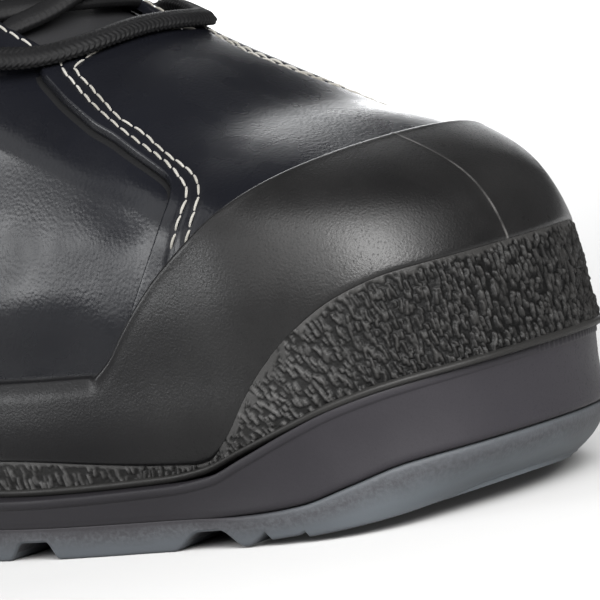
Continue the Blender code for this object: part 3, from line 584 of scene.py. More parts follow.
def tread_finish(name):
    """Slate rubber of the tread, grainy wall and smooth foot: painted shade under the joint, between lugs
    and on the rear, painted light on the foot.
    """
    made, tree, shader, place = finish(name, {"Specular IOR Level": 0.25})
    foot = put(tree, "ShaderNodeAttribute", attribute_name="foot").outputs["Fac"]
    grain = noise_node(tree, place, 1100.0, 3.0, 0.6)
    slow = noise_node(tree, place, 60.0, 4.0)
    edge = reckon(tree, "ADD", foot, reckon(tree, "MULTIPLY", reckon(tree, "SUBTRACT", slow, 0.5), 0.5))
    # Painted light and shade: the wall's top and the gaps between lugs take the dark wall colour, the lower
    # wall and the lug tips the lighter foot colour.
    part = spread(tree, edge, 0.30, 0.72)
    wall = blend(tree, spread(tree, grain, 0.4, 0.65), (0.032, 0.0325, 0.036), (0.050, 0.052, 0.057))
    base = blend(tree, slow, (0.080, 0.090, 0.100), (0.095, 0.108, 0.118))
    along = put(tree, "ShaderNodeSeparateXYZ", {"Vector": place}).outputs["X"]
    # Painted shade: the foot colour darkens towards the rear.
    base = blend(tree, spread(tree, along, 0.125, 0.150), (0.052, 0.058, 0.065), base)
    # Painted shade under the joint: the top of the wall and the gaps between lugs darken, most at the rear.
    ahead = spread(tree, along, 0.100, 0.122)
    joint_shade_colour = blend(tree, ahead, (0.0190, 0.0178, 0.0205), (0.052, 0.056, 0.062))
    wall = blend(tree, spread(tree, edge, 0.02, 0.36), joint_shade_colour, wall)
    rough_rise = reckon(tree, "MULTIPLY", grain, spread(tree, part, 0.0, 1.0, 1.0, 0.12))
    wire(tree, shader, Base_Color=blend(tree, part, wall, base), Normal=bump(tree, rough_rise, 0.4, 0.0004),
         Roughness=spread(tree, slow, 0.3, 0.7, 0.50, 0.62))
    return made


def thread_finish(name, light, dull):
    """Twisted sewing thread, soiled in places."""
    made, tree, shader, place = finish(name, {"Specular IOR Level": 0.3, "Roughness": 0.72,
                                              "Sheen Weight": 0.15})
    soiled = spread(tree, noise_node(tree, place, 55.0, 3.0), 0.42, 0.70)
    fibres = noise_node(tree, place, 3200.0, 2.0)
    wire(tree, shader, Base_Color=blend(tree, soiled, light, dull), Normal=bump(tree, fibres, 0.5, 0.0002))
    return made


def cloth_finish(name, dark, light, pitch):
    """Woven or knitted cloth in two crossing waves."""
    made, tree, shader, place = finish(name, {"Specular IOR Level": 0.3, "Roughness": 0.85,
                                              "Sheen Weight": 0.25, "Sheen Roughness": 0.5})
    wave = {"Vector": place, "Scale": 0.31 / pitch, "Distortion": 0.6, "Detail": 1.0, "Detail Scale": 3.0}
    waves = [put(tree, "ShaderNodeTexWave", wave, bands_direction=axis).outputs["Fac"]
             for axis in ("X", "Z")]
    weave = reckon(tree, "MULTIPLY", *waves)
    slow = noise_node(tree, place, 45.0, 3.0)
    shade = reckon(tree, "MULTIPLY_ADD", slow, 0.5, reckon(tree, "MULTIPLY", weave, 0.5))
    wire(tree, shader, Base_Color=blend(tree, shade, dark, light), Normal=bump(tree, weave, 0.5, 0.0003))
    return made


def lace_finish(name):
    """Braided cord: matt black yarn."""
    made, tree, shader, place = finish(name, {"Specular IOR Level": 0.12, "Roughness": 0.6})
    yarn = noise_node(tree, place, 2800.0, 2.0)
    slow = noise_node(tree, place, 120.0, 2.0)
    wire(tree, shader, Base_Color=blend(tree, slow, (0.0022, 0.0022, 0.0024), (0.0060, 0.0060, 0.0064)),
         Normal=bump(tree, yarn, 0.35, 0.0002))
    return made


def metal_finish(name):
    """Lacquered eyelet metal, rubbed in patches."""
    made, tree, shader, place = finish(name, {"Metallic": 1.0})
    slow = noise_node(tree, place, 400.0, 3.0)
    rubbed = spread(tree, slow, 0.45, 0.7)
    wire(tree, shader, Base_Color=blend(tree, rubbed, (0.030, 0.030, 0.032), (0.12, 0.12, 0.12)),
         Roughness=spread(tree, slow, 0.3, 0.7, 0.30, 0.48), Normal=bump(tree, slow, 0.08, 0.0002))
    return made


def grid(rows, columns, closed=False):
    """Quads of a grid of points listed row by row; columns run front to back on the lateral side."""
    r = np.arange(rows - 1)[:, None] * columns
    c = np.arange(columns if closed else columns - 1)[None, :]
    n = (c + 1) % columns
    return np.stack([r + c, r + columns + c, r + columns + n, r + n], axis=-1).reshape(-1, 4)


def sheet(rows, closed=False, flipped=False):
    """Rows of points with the quads between them; flipped turns its outside over."""
    points = np.asarray(rows, float)
    quads = grid(*points.shape[:2], closed)
    return points, quads[:, ::-1] if flipped else quads


def joined(parts):
    """Several (points, quads) as one."""
    points = []
    quads = []
    count = 0
    for part_points, part_quads in parts:
        points.append(part_points.reshape(-1, 3))
        quads.append(part_quads + count)
        count += len(points[-1])
    return np.concatenate(points), np.concatenate(quads)


def piece(name, points, quads, finishes, slot, nodes=(), index=None, values=None):
    """Smooth mesh piece from millimetre points that rides on the boot."""
    points = (np.asarray(points, float).reshape(-1, 3) - (LENGTH / 2, 0.0, 0.0)) * MM
    quads = np.asarray(quads, np.int32)
    mesh = bpy.data.meshes.new(name)
    mesh.vertices.add(len(points))
    mesh.vertices.foreach_set("co", points.astype(np.float32).ravel())
    mesh.loops.add(quads.size)
    mesh.loops.foreach_set("vertex_index", quads.ravel())
    mesh.polygons.add(len(quads))
    mesh.polygons.foreach_set("loop_start", np.arange(0, quads.size, 4, dtype=np.int32))
    mesh.polygons.foreach_set("loop_total", np.full(len(quads), 4, np.int32))
    for finish_used in finishes:
        mesh.materials.append(finish_used)
    if index is not None:
        mesh.polygons.foreach_set("material_index", np.asarray(index, np.int32))
    # The foot attribute carries marks that the textured rubber and the tread materials turn into painted
    # shade and painted light.
    if values is not None:
        layer = mesh.attributes.new("foot", "FLOAT", "POINT")
        layer.data.foreach_set("value", np.asarray(values, np.float32))
    mesh.update(calc_edges=True)
    mesh.validate()
    mesh.shade_smooth()
    obj = bpy.data.objects.new(name, mesh)
    bpy.context.scene.collection.objects.link(obj)
    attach(obj, "root")
    if nodes:
        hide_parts(*nodes)
    return obj


def distance_to(points, line):
    """Distance of each point to the nearest point of a closely spaced line."""
    tree = KDTree(len(line))
    for i, p in enumerate(line):
        tree.insert(p, i)
    tree.balance()
    flat = points.reshape(-1, 3)
    return np.array([tree.find(p)[2] for p in flat]).reshape(points.shape[:-1])


def crease_lines():
    """Side, close line of points, depth and half width of each trough."""
    lines = []
    fine = np.linspace(0.0, 1.0, 60)
    for heights, xs, depth, width in CREASES:
        t = np.linspace(0.0, 1.0, len(heights))
        h = smooth(t, heights)(fine)
        x = smooth(t, xs)(fine)
        lines += [(side, skin(side, h, share_at_x(side, h, x)), depth, width) for side in BOTH]
    return lines


CREASE_LINES = crease_lines()


def creased(points, sides):
    """How far the leather dips at points on the skin."""
    dip = np.zeros(points.shape[:-1])
    sides = np.broadcast_to(sides, dip.shape)
    for side, line, depth, width in CREASE_LINES:
        low = line.min(axis=0) - 3 * width
        high = line.max(axis=0) + 3 * width
        near = np.all((points > low) & (points < high), axis=-1) & (sides == side)
        if near.any():
            off = distance_to(points[near], line)
            dip[near] += depth * bell(off, width)
    return dip


def near_throat(number, side, height, share):
    """Shares of a seam line, taken over near the throat by its table of shares."""
    table = SEAM_HIGH[number]
    share = share + (smooth(table["height"], table["share"])(height) - share) * ease(height, 81.5, 85.5)
    if side == MEDIAL:
        share = share - smooth(SEAM_OVER["height"], SEAM_OVER["share"])(height)
    return share


SEAM_HEIGHTS = np.linspace(VAMP_SEAM["height"][0], THROAT_HEIGHT, 160)
SEAM_SHARES = [near_throat(2, side, SEAM_HEIGHTS, share_at_x(side, SEAM_HEIGHTS, vamp_seam(SEAM_HEIGHTS)))
               for side in BOTH]
THROAT_HEIGHTS = np.linspace(THROAT_HEIGHT, TONGUE_TO, 90)
THROAT_SHARES = [share_at_half(side, THROAT_HEIGHTS, throat_half(THROAT_HEIGHTS)) for side in BOTH]


def seam_share(side, height):
    """Share of the vamp's edge at a height."""
    return np.interp(height, SEAM_HEIGHTS, SEAM_SHARES[side])


def throat_share(side, height):
    """Share of the throat's edge at a height."""
    return np.interp(height, THROAT_HEIGHTS, THROAT_SHARES[side])


def row_line(number, side):
    """Heights and shares along a row of seam stitches, top first, above the overcap."""
    table = SEAM_ROWS[number]
    height = np.linspace(table["height"][-1], table["height"][0], 200)
    share = share_at_x(side, height, smooth(table["height"], table["x"])(height))
    share = near_throat(number, side, height, share)
    base = skin(side, height, share)
    keep = base[:, 2] > cap_edge(base[:, 0]) + 0.3
    return height[keep], share[keep]


def throat_row():
    """Sides, heights and shares along the row across the foot of the throat, lateral to medial."""
    halves = []
    tries = np.linspace(94.0, 104.0, 200)
    for side in BOTH:
        end = float(row_line(1, side)[1][0])
        share = np.linspace(end, 0.0, 50) if side == LATERAL else np.linspace(0.0, end, 50)
        place = skin(side, tries[None, :], share[:, None])[..., 0]
        height = np.array([np.interp(-THROAT_ROW, -row, tries) for row in place])
        halves.append((np.full(50, side), height, share))
    return [np.concatenate(pair) for pair in zip(*halves)]


def stitches(points, normals, seed):
    """Row of raised stitches along a line on a surface."""
    both = resampled(np.concatenate([points, normals], axis=1), 0.1)
    line = both[:, :3]
    normal = unit(both[:, 3:])
    run = run_along(line)
    turns = np.arange(6)[:, None] * 2 * np.pi / 6
    rise = THREAD * np.array((-0.9, -0.2, 0.42, 0.55, 0.42, -0.2, -0.9))
    girth = THREAD * np.array((0.5, 0.85, 1.0, 1.04, 1.0, 0.85, 0.5))
    last = 36
    caps = np.array([(0, 1, 2, 3), (0, 3, 4, 5), (last + 3, last + 2, last + 1, last),
                     (last + 5, last + 4, last + 3, last)])
    quads = np.concatenate([grid(7, 6, closed=True), caps])
    parts = []
    for k in range(int((run[-1] - STITCH_FITS * STITCH_LONG) / STITCH_PITCH) + 1):
        vary = hash01(k, 3, seed)
        long = STITCH_LONG * (0.94 + 0.1 * hash01(k, 5, seed))
        start = k * STITCH_PITCH + 0.25 * (vary - 0.5)
        at = start + long * np.array((0.0, 0.09, 0.3, 0.5, 0.7, 0.91, 1.0))
        centre = read_at(line, run, at)
        up = unit(read_at(normal, run, at))
        aside = np.cross(unit(np.gradient(centre, axis=0)), up)
        lean = (0.13 + 0.26 * (vary - 0.5)) * np.linspace(-1.0, 1.0, 7)
        fat = girth * (0.94 + 0.14 * vary)
        rings = [centre[i] + up[i] * rise[i] + aside[i] * lean[i]
                 + fat[i] * (aside[i] * np.cos(turns) + up[i] * 0.9 * np.sin(turns)) for i in range(7)]
        parts.append((np.concatenate(rings), quads))
    return parts


def sewn(side, height, share, lift, seed):
    """Row of stitches at heights and shares on the skin, lifted off it."""
    return stitches(skin(side, height, share, lift), facing_out(side, height, share), seed)


def padding(height, x):
    """Part of the collar's full padding, 0 to 1."""
    return pad_band(height) * (1 - ease(x, *PAD_X))


def quarter_out(side, height, share, points):
    """Relief of the quarters: collar swell, facing and backstay steps, soft troughs."""
    x = points[..., 0]
    run = run_at(LATERAL, height)
    front = np.where(side == LATERAL, throat_share(LATERAL, height), throat_share(MEDIAL, height))
    facing = 1 - ease((share - front) * run, FACING_WIDE - 0.8, FACING_WIDE)
    facing = facing * ease(height, FACING_LOW - 0.5, FACING_LOW + 0.3)
    stay = 1 - ease((1 - share) * run, BACKSTAY_HALF - 0.8, BACKSTAY_HALF)
    stay = stay * (1 - ease(height, 126.0, 132.0))
    ledge = cap_edge(x)
    tuck = TUCK * (1 - ease(points[..., 2], ledge + 1.0, ledge + 18.0))
    tuck = tuck * between(x, *TUCK_X)
    panels = PANEL_STEP * np.maximum(facing, stay)
    return PAD_OUT * padding(height, x) + panels - tuck - creased(points, side)


def build_quarters(black, lining):
    """Leather of both quarters with its cut front edge, and the lining behind it."""
    heights = np.concatenate([np.linspace(20.0, 95.0, 76, endpoint=False),
                              np.linspace(95.0, 102.0, 16, endpoint=False),
                              np.linspace(102.0, COLLAR_TOP - 1.4, 58),
                              COLLAR_TOP - np.array((0.9, 0.45, 0.15, 0.0))])
    edge_arc = np.array((0.0, 0.0, 0.10, 0.35, 0.8, 1.5))
    edge_out = np.array((-WALL, -1.3, -0.65, -0.22, -0.04, 0.0))
    t = np.linspace(0.0, 1.0, 168)[1:]
    toward_back = 0.72 * t + 0.28 * t * t
    rows = []
    for height in heights:
        halves = []
        lip = -max(0.0, 1.0 - (COLLAR_TOP - height) / 0.9)**2
        for side in BOTH:
            run = float(run_at(side, height))
            first = float(throat_share(side, height))
            if height < THROAT_HEIGHT:
                under_vamp = 7.0 * (1 - ease(height, 86.0, THROAT_HEIGHT)) / run
                first = float(seam_share(side, height)) - under_vamp
            inner = first + edge_arc[-1] / run
            shares = np.concatenate([first + edge_arc / run, inner + (1 - inner) * toward_back])
            base = skin(side, height, shares)
            out = quarter_out(side, np.full(len(shares), height), shares, base) + lip
            out[:len(edge_out)] += edge_out
            halves.append(skin(side, height, shares, out))
        rows.append(round_back(halves))
    piece("quarters", *sheet(rows), [black], "leather", ["upper"])

    rows = []
    for height in np.concatenate([np.linspace(14.0, COLLAR_TOP - 3.0, 70),
                                  COLLAR_TOP - np.array((1.2, 0.4, 0.0))]):
        halves = []
        close = max(0.0, 1.0 - (COLLAR_TOP - height) / 3.0)**2
        for side in BOTH:
            first = 0.0 if height < THROAT_HEIGHT else float(throat_share(side, height))
            shares = np.linspace(first, 1.0, 110)
            depth = WALL + PAD_IN * padding(height, skin(side, height, shares)[:, 0])
            halves.append(skin(side, height, shares, -depth * (1 - close) - 0.6 * close))
        rows.append(round_back(halves))
    piece("lining", *sheet(rows, flipped=True), [lining], "leather")


def build_vamp(black, cut_edge_gap_shade):
    """Panel over the front, rounded at its edge, with its cut edge in near-black leather and a near-black
    strip on the quarters beside it, painted shadow of the gap under the edge.
    """
    even = np.linspace(-1.0, 1.0, 141)
    close = np.array((0.990, 0.9935, 0.9965, 0.9985))
    taus = np.sort(np.concatenate([0.45 * even + 0.55 * np.sin(even * np.pi / 2), close, -close]))
    sides = np.where(taus <= 0, LATERAL, MEDIAL)
    parts = np.abs(taus)
    tries = np.linspace(VAMP_SEAM["height"][0], 106.0, 400)
    upper = tries > 85.0

    def at(k, height):
        """Points and shares at heights on a column."""
        share = parts[k] * seam_share(sides[k], height)
        return skin(sides[k], height, share), share

    columns = []
    for k in range(len(taus)):
        place = at(k, tries)[0]
        under = place[:, 2] < cap_edge(place[:, 0]) - 3.5
        low = tries[np.max(np.nonzero(under)[0])] if under.any() else tries[0]
        want = VAMP_TOP[0] + (VAMP_TOP[1] - VAMP_TOP[0]) * (1 - parts[k]**4)
        top = float(np.interp(-want, -place[upper, 0], tries[upper]))
        fine = np.linspace(low, top, 240)
        run = run_along(at(k, fine)[0])
        stops = np.concatenate([np.linspace(0.0, run[-1] - 1.8, 98, endpoint=False),
                                run[-1] - np.array((1.8, 1.2, 0.75, 0.4, 0.15, 0.0))])
        columns.append(np.interp(stops, run, fine))
    height = np.array(columns)
    share = np.array([at(k, height[k])[1] for k in range(len(taus))])
    side = np.broadcast_to(sides[:, None], height.shape)
    base = skin(side, height, share)

    def near_line(line, spacing):
        return distance_to(base, resampled(line, spacing))

    from_edge = near_line(base[:, -1], 0.04)
    for k in BOTH:
        from_edge = np.minimum(from_edge, near_line(skin(k, SEAM_HEIGHTS, SEAM_SHARES[k]), 0.04))
    rounding = 0.9
    out = 0.1 + (VAMP_OUTER - 0.1) * quarter_round(1 - from_edge / rounding)
    for number in (0, 1):
        off = np.minimum(*[near_line(skin(k, *row_line(number, k)), 0.3) for k in BOTH])
        out -= 0.30 * bell(off, 0.75)
    out -= 0.25 * bell(near_line(skin(*throat_row()), 0.3), 0.75)
    out -= creased(base, side)
    points = skin(side, height, share, out)
    outer = sheet(points, flipped=True)
    edge = skin(side, height, share, -0.6)
    lines = ((slice(None), -1), (0, slice(None)), (-1, slice(None)))
    rim = [sheet([points[line], edge[line]]) for line in lines]
    # Near-black strip on the quarter along each side of the vamp's edge: painted shadow of the gap under
    # the edge.
    for end, turn in ((0, -1.0), (-1, 1.0)):
        k = sides[end]
        normal = facing_out(k, height[end], share[end])
        away = unit(turn * np.cross(np.gradient(base[end], axis=0), normal))
        on_quarter = quarter_out(np.full(height.shape[1], k), height[end], share[end], base[end])
        foot = base[end] + (on_quarter + 0.10)[:, None] * normal
        rim.append(sheet([foot - 0.4 * away, foot + 0.85 * away, foot + 1.25 * away - 0.25 * normal]))
    points, quads = joined([outer] + rim)
    cut_edge_gap_shade_faces = np.zeros(len(quads), int)
    cut_edge_gap_shade_faces[len(outer[1]):] = 1
    piece("vamp_leather", points, quads, [black, cut_edge_gap_shade], "leather", ["vamp"], cut_edge_gap_shade_faces)


def seam_stitches(cream):
    """Pale rows along the vamp's edge, across the foot of the throat and on the facings."""
    parts = []
    out = VAMP_OUTER - 0.2
    for number in (0, 1):
        for side in BOTH:
            spot = (side, *row_line(number, side))
            parts += sewn(*spot, out - creased(skin(*spot), side), 11 + number * 3 + side)
    spot = throat_row()
    lift = out - creased(skin(*spot), spot[0])
    parts += stitches(skin(*spot, lift)[1:-1], facing_out(*spot)[1:-1], 31)
    lift = PANEL_STEP + 0.05
    for side in BOTH:
        height = np.linspace(FACING_LOW + 3.5, COLLAR_TOP - 4.0, 90)
        run = run_at(side, height)
        front = throat_share(side, height)
        parts += sewn(side, height, front + 1.9 / run, lift, 41 + side)
        for inset in (2.4, 4.2):
            share = front + (FACING_WIDE - inset) / run
            swell = PAD_OUT * padding(height, skin(side, height, share)[:, 0])
            parts += sewn(side, height, share, lift + swell, 43 + side + int(inset))
        level = np.full(60, FACING_LOW + 1.8)
        across = np.linspace(6.5, FACING_WIDE - 2.4, 60) / float(run_at(side, level[0]))
        parts += sewn(side, level, throat_share(side, level) + across, lift, 51 + side)
    piece("seam_stitches", *joined(parts), [cream], "leather")


def plain_stitches(dark):
    """Black rows on the backstay and under the collar pad."""
    parts = []
    for side in BOTH:
        height = np.linspace(54.0, 126.0, 120)
        share = 1 - (BACKSTAY_HALF - 2.2) / run_at(side, height)
        parts += sewn(side, height, share, PANEL_STEP - creased(skin(side, height, share), side), 61 + side)
        x = np.linspace(100.0, 30.0, 120)
        height = collar_seam(x) - 2.4
        share = share_at_x(side, height, x)
        keep = share < 1 - (BACKSTAY_HALF + 1.0) / run_at(side, height)
        spot = (side, height[keep], share[keep])
        swell = PAD_OUT * padding(spot[1], skin(*spot)[:, 0])
        parts += sewn(*spot, swell + 0.05, 63 + side)
    piece("plain_stitches", *joined(parts), [dark], "leather")


def collar_seam(x):
    """Height of the lower edge of the padded collar."""
    return COLLAR_SEAM["low"] + COLLAR_SEAM["rise"] * ease(x, *COLLAR_SEAM["x"])


def build_collar(soft):
    """Padded roll over the collar's edge, outside to inside."""
    halves = []
    t = np.linspace(0.0, 1.0, 46)
    climb = np.clip(np.where(t < 0.55, t / 0.55, np.where(t < 0.63, 1.0, (1 - t) / 0.37)), 0.0, 1.0)
    puff = 0.25 + 0.75 * np.abs(np.sin(np.pi * climb * 2.0))**0.6
    inside = ease(t, 0.53, 0.65)
    stops = np.linspace(104.0, 40.0, 60, endpoint=False)
    for side in BOTH:
        behind = float(share_at_x(side, collar_seam(40.0), 40.0))
        shares = np.concatenate([share_at_x(side, collar_seam(stops), stops), np.linspace(behind, 1.0, 70)])
        columns = []
        for share in shares:
            x = float(skin(side, 150.0, share)[0])
            seam = float(collar_seam(x))
            height = seam + (COLLAR_TOP - 1.0 - seam) * np.sin(climb * np.pi / 2)**0.9
            height = height + 1.6 * bell(t - 0.59, 0.04)
            pad = padding(np.clip(height, 126.0, 168.0), x)
            outer = 0.35 + PAD_OUT * pad + 1.3 * puff * (1 - ease(x, 92.0, 104.0))
            inner = -(WALL + PAD_IN * pad) - 0.7
            out = outer * (1 - inside) + inner * inside
            out[0] = -0.5
            columns.append(skin(side, height, share, out))
        halves.append(np.array(columns))
    points = round_back(halves).transpose(1, 0, 2)
    pad = piece("collar_pad", *sheet(points), [soft], "leather")


class CapColumns:
    """Heights of the overcap's lines on columns of the outline."""

    def __init__(self, side, share):
        self.side = side
        self.share = share
        self.x = station(side, share)
        self.low = rib_height(side, share)
        self.top = height_where(side, share, cap_edge, BOTTOM, CAP_HIGHEST)
        strip = height_where(side, share, cap_strip(self.x), BOTTOM, CAP_HIGHEST)
        self.strip = np.minimum(np.maximum(strip, self.low + CAP_RIB + STRIP_LEAST), self.top - BODY_LEAST)
        self.step = cap_step(skin(side, self.low, share)[:, 0])
        self.ragged = between(self.x, *CAP_RAGGED)
        self.run = share * run_at(LATERAL, PLAN_HEIGHT) * SIGN[side]

    def at(self, height, out=0.0):
        """Points at rows of heights on each column."""
        return skin(self.side[:, None], height, self.share[:, None], out)


def around(spacing, start=0.0, stop=1.0):
    """Columns lateral front to back then medial back to front, that far apart."""
    count = int((stop - start) * OUTLINE_RUN / spacing)
    shares = np.linspace(start, stop, count)
    return round_back([np.full(count, LATERAL), np.full(count, MEDIAL)]), round_back([shares, shares])


def across_toe(spacing, stop):
    """Columns medial back to front then lateral front to back, up to a share behind the toe."""
    count = int(stop * OUTLINE_RUN / spacing)
    shares = np.linspace(0.0, stop, count)
    side = np.concatenate([np.full(count, MEDIAL), np.full(count - 1, LATERAL)])
    return side, np.concatenate([shares[::-1], shares[1:]])


def cap_profile(columns, tops, count):
    """Rows of the overcap's body from the strip to the lip, by distance along the skin."""
    n = len(columns.share)
    fine = np.linspace(0.0, 1.0, 160)
    height = columns.strip[:, None] + (columns.top - columns.strip)[:, None] * fine[None, :]
    steps = np.linalg.norm(np.diff(columns.at(height), axis=1), axis=2)
    run = np.concatenate([np.zeros((n, 1)), np.cumsum(steps, axis=1)], axis=1)
    whole = run[:, -1]
    starts = np.array((0.0, 0.22, 0.5, 0.9, 1.5))
    stop = np.concatenate([np.broadcast_to(starts, (n, len(starts))),
                           2.2 + (whole - tops[0] - 3.0)[:, None] * np.linspace(0.0, 1.0, count)[None, :],
                           whole[:, None] - tops[None, :]], axis=1)
    return np.array([np.interp(stop[i], run[i], height[i]) for i in range(n)]), stop, whole[:, None]


def build_overcap(rubber, rib_rubber):
    """Smooth body of the overcap with its lip, and the rib below it."""
    side, share = around(0.9)
    columns = CapColumns(side, share)
    tops = np.array((5.2, 4.6, 4.1, 3.6, 3.0, 2.4, 1.8, 1.3, 0.9, 0.6, 0.36, 0.18, 0.06, 0.0))
    height, stop, whole = cap_profile(columns, tops, 34)
    down = whole - stop
    corner = ease(skin(side, columns.top, share)[:, 0], *CAP_CORNER)
    step = columns.step[:, None]
    shoulder = CAP_OUT["shoulder"]
    start = CAP_OUT["strip"] + step
    body = start + (shoulder - start) * np.clip(stop / whole, 0.0, 1.0)
    level = shoulder - 1.1 * np.clip(1 - down / 4.2, 0.0, 1.0) - 0.9 * np.clip(1 - down / 0.5, 0.0, 1.0)**2
    bead = shoulder + 0.10 * bell(down - 1.2, 0.7) - 1.1 * (1 - quarter_round(1 - down))
    edge = level + (bead - level) * corner[:, None]
    out = body + (edge - body) * (1 - ease(down, 0.0, 5.0))
    foot = np.clip(1 - stop / 0.9, 0.0, 1.0)**2
    out -= foot * (0.25 + 0.55 * step) * (1 - columns.ragged[:, None])
    out += 0.13 * bell(columns.run[:, None], 0.42) * ease(stop, 3.0, 6.0)
    points = np.concatenate([[skin(side, columns.strip - 0.1, share, CAP_OUT["strip"] - 0.9)],
                             columns.at(height, out).transpose(1, 0, 2),
                             [skin(side, columns.top, share, 0.9 + 0.5 * corner)],
                             [skin(side, columns.top - 0.3, share, -2.0)]])
    body_part = sheet(points)
    points, quads = joined([body_part, rib_bead(columns)])
    index = np.zeros(len(quads), int)
    index[len(body_part[1]):] = 1
    piece("overcap_rubber", points, quads, [rubber, rib_rubber], "black_rubber", ["overcap"], index)


def rib_bead(columns):
    """Thin rib under the textured strip."""
    rise = (-0.05, -0.05, 0.12, 0.42, 0.9, 1.25, 1.5, 1.72, 1.8)
    outs = (2.6, 4.35, 4.72, 4.95, 5.0, 4.92, 4.7, 4.35, 3.4)
    return sheet([skin(columns.side, columns.low + up, columns.share, out) for up, out in zip(rise, outs)])


class Bark:
    """Raised strokes on a flat sheet, as wide as a run of outline and as tall as a band."""

    STEP = 0.14

    def __init__(self, start, stop, low, high, lean, long, wide, seed):
        self.start = start
        self.low = low
        across = int((stop - start) / self.STEP) + 2
        tall = int((high - low) / self.STEP) + 2
        p_at = start + np.arange(across)[None, :] * self.STEP
        z_at = low + np.arange(tall)[:, None] * self.STEP
        sheet = np.zeros((tall, across))
        count_p = int((stop - start) / (wide * 1.95))
        count_z = int((high - low) / (long * 0.74))
        for i, j in np.ndindex(count_p, count_z):
            draw = [hash01(i, j, seed + k) for k in range(7)]
            p = start + (i + 0.5 + 0.9 * (draw[0] - 0.5)) * (stop - start) / count_p
            z = low + (j + 0.5 + 1.0 * (draw[1] - 0.5)) * (high - low) / count_z
            angle = lean(p) + 0.30 * (draw[2] - 0.5)
            reach = long * (0.55 + 0.75 * draw[3]) * 0.5
            half = wide * (0.75 + 0.6 * draw[4]) * 0.5
            box = int((reach + half) / self.STEP) + 2
            middle = (int((z - low) / self.STEP), int((p - start) / self.STEP))
            cells = tuple(slice(max(0, k - box), max(0, k + box)) for k in middle)
            dp = p_at[:, cells[1]] - p
            dz = z_at[cells[0]] - z
            b = dp * math.sin(angle) + dz * math.cos(angle)
            a = dp * math.cos(angle) - dz * math.sin(angle) + 0.16 * half * np.sin(b * 2.2 + 6.0 * draw[6])
            shape = np.clip(1 - np.abs(a / half)**2.2, 0.0, 1.0)
            shape = shape * np.clip(1 - np.abs(b / reach)**3, 0.0, 1.0)
            sheet[cells] = np.maximum(sheet[cells], (0.45 + 0.55 * draw[5]) * shape**0.7)
        self.sheet = sheet * 0.86 + 0.14 * noise(p_at / 0.45, z_at / 0.6, seed + 9)

    def at(self, p, z):
        """Stroke height, 0 to 1, at places on the sheet."""
        tall, across = self.sheet.shape
        u = np.clip((p - self.start) / self.STEP, 0, across - 1.001)
        v = np.clip((z - self.low) / self.STEP, 0, tall - 1.001)
        i = u.astype(int)
        j = v.astype(int)
        fu = u - i
        fv = v - j
        s = self.sheet
        return ((s[j, i] * (1 - fu) + s[j, i + 1] * fu) * (1 - fv)
                + (s[j + 1, i] * (1 - fu) + s[j + 1, i + 1] * fu) * fv)


def textured(name, rubber, columns, stroke_at, rows, deep, fade_top):
    """Piece of the textured band between the rib and the body of the overcap."""
    low = columns.low + CAP_RIB - 0.35
    high = columns.strip + 0.35
    height = low[:, None] + (high - low)[:, None] * np.linspace(0.0, 1.0, rows)[None, :]
    z = columns.at(height)[..., 2]
    p = np.broadcast_to(columns.run[:, None], height.shape)
    stroke = stroke_at(p, z)
    from_top = columns.strip[:, None] - height
    wild = columns.ragged[:, None]
    fray = (fade_top + 4.0 * wild) * (noise(p / 1.1, z / 2.5, 5) - 0.5) - 1.2 * wild
    flat = ease(from_top + fray, 0.15, 1.3)
    out = CAP_OUT["strip"] - 0.18 * (1 - wild) + deep * (stroke - 0.42) * flat
    out = np.where(from_top < 0, CAP_OUT["strip"] - 0.25 + 0.9 * from_top, out)
    points = columns.at(height, out).transpose(1, 0, 2)
    # Values for painted shade: low in the hollows between strokes, which the grain rubber darkens.
    shade = flat * stroke + (1 - flat) * (1 - 0.55 * wild)
    piece(name, *sheet(points), [rubber], "black_rubber", values=shade.T.ravel())


def build_grain(rubber):
    """Textured strip round the toe and along both rands."""
    run = float(run_at(LATERAL, PLAN_HEIGHT))
    split = 0.262
    reach = split * run
    toe = CapColumns(*across_toe(0.26, split))
    order = np.argsort(toe.run)
    low = skin(toe.side, toe.low + CAP_RIB, toe.share)[order, 2]
    high = skin(toe.side, toe.strip, toe.share)[order, 2]
    slope = np.gradient((low + high) / 2, toe.run[order])
    slope = np.convolve(np.pad(slope, 25, mode="edge"), np.ones(51) / 51, mode="valid")

    def lean_toe(p):
        return -math.atan(float(np.interp(p, toe.run[order], slope)))

    fine = Bark(-reach - 1, reach + 1, 12.0, 53.0, lean_toe, 2.2, 0.62, 3)
    textured("overcap_grain", rubber, toe, fine.at, 135, 0.92, 1.6)
    rand = CapColumns(*around(0.36, split - 0.002, 1.0))
    lateral = Bark(-run - 1, -reach + 2, 10.0, 37.0, lambda p: -0.20, 3.4, 0.85, 23)
    medial = Bark(reach - 2, run + 1, 10.0, 37.0, lambda p: 0.20, 3.4, 0.85, 29)

    def either(p, z):
        return np.where(p < 0, lateral.at(p, z), medial.at(p, z))

    textured("overcap_strip", rubber, rand, either, 32, 0.85, 0.6)


def toe_corner(side, share, start, fade):
    """1 around the toe, gone a little way back; it reaches farther along the medial side."""
    begin = np.where(side == MEDIAL, start + 0.17, start)
    return 1 - ease(share, begin, begin + fade)


def plan_ring(side, share, out, z):
    """Ring on the sole's outline, that far off the upper, at given heights."""
    point = skin(side, PLAN_HEIGHT, share, out - TOE_IN * toe_corner(side, share, 0.02, 0.10))
    point[..., 2] = z
    return point


def joint_open(x):
    """How far the joint between midsole and outsole shows as a groove, 0 to 1: only around the toe."""
    return ease(x, *JOINT_OPEN)


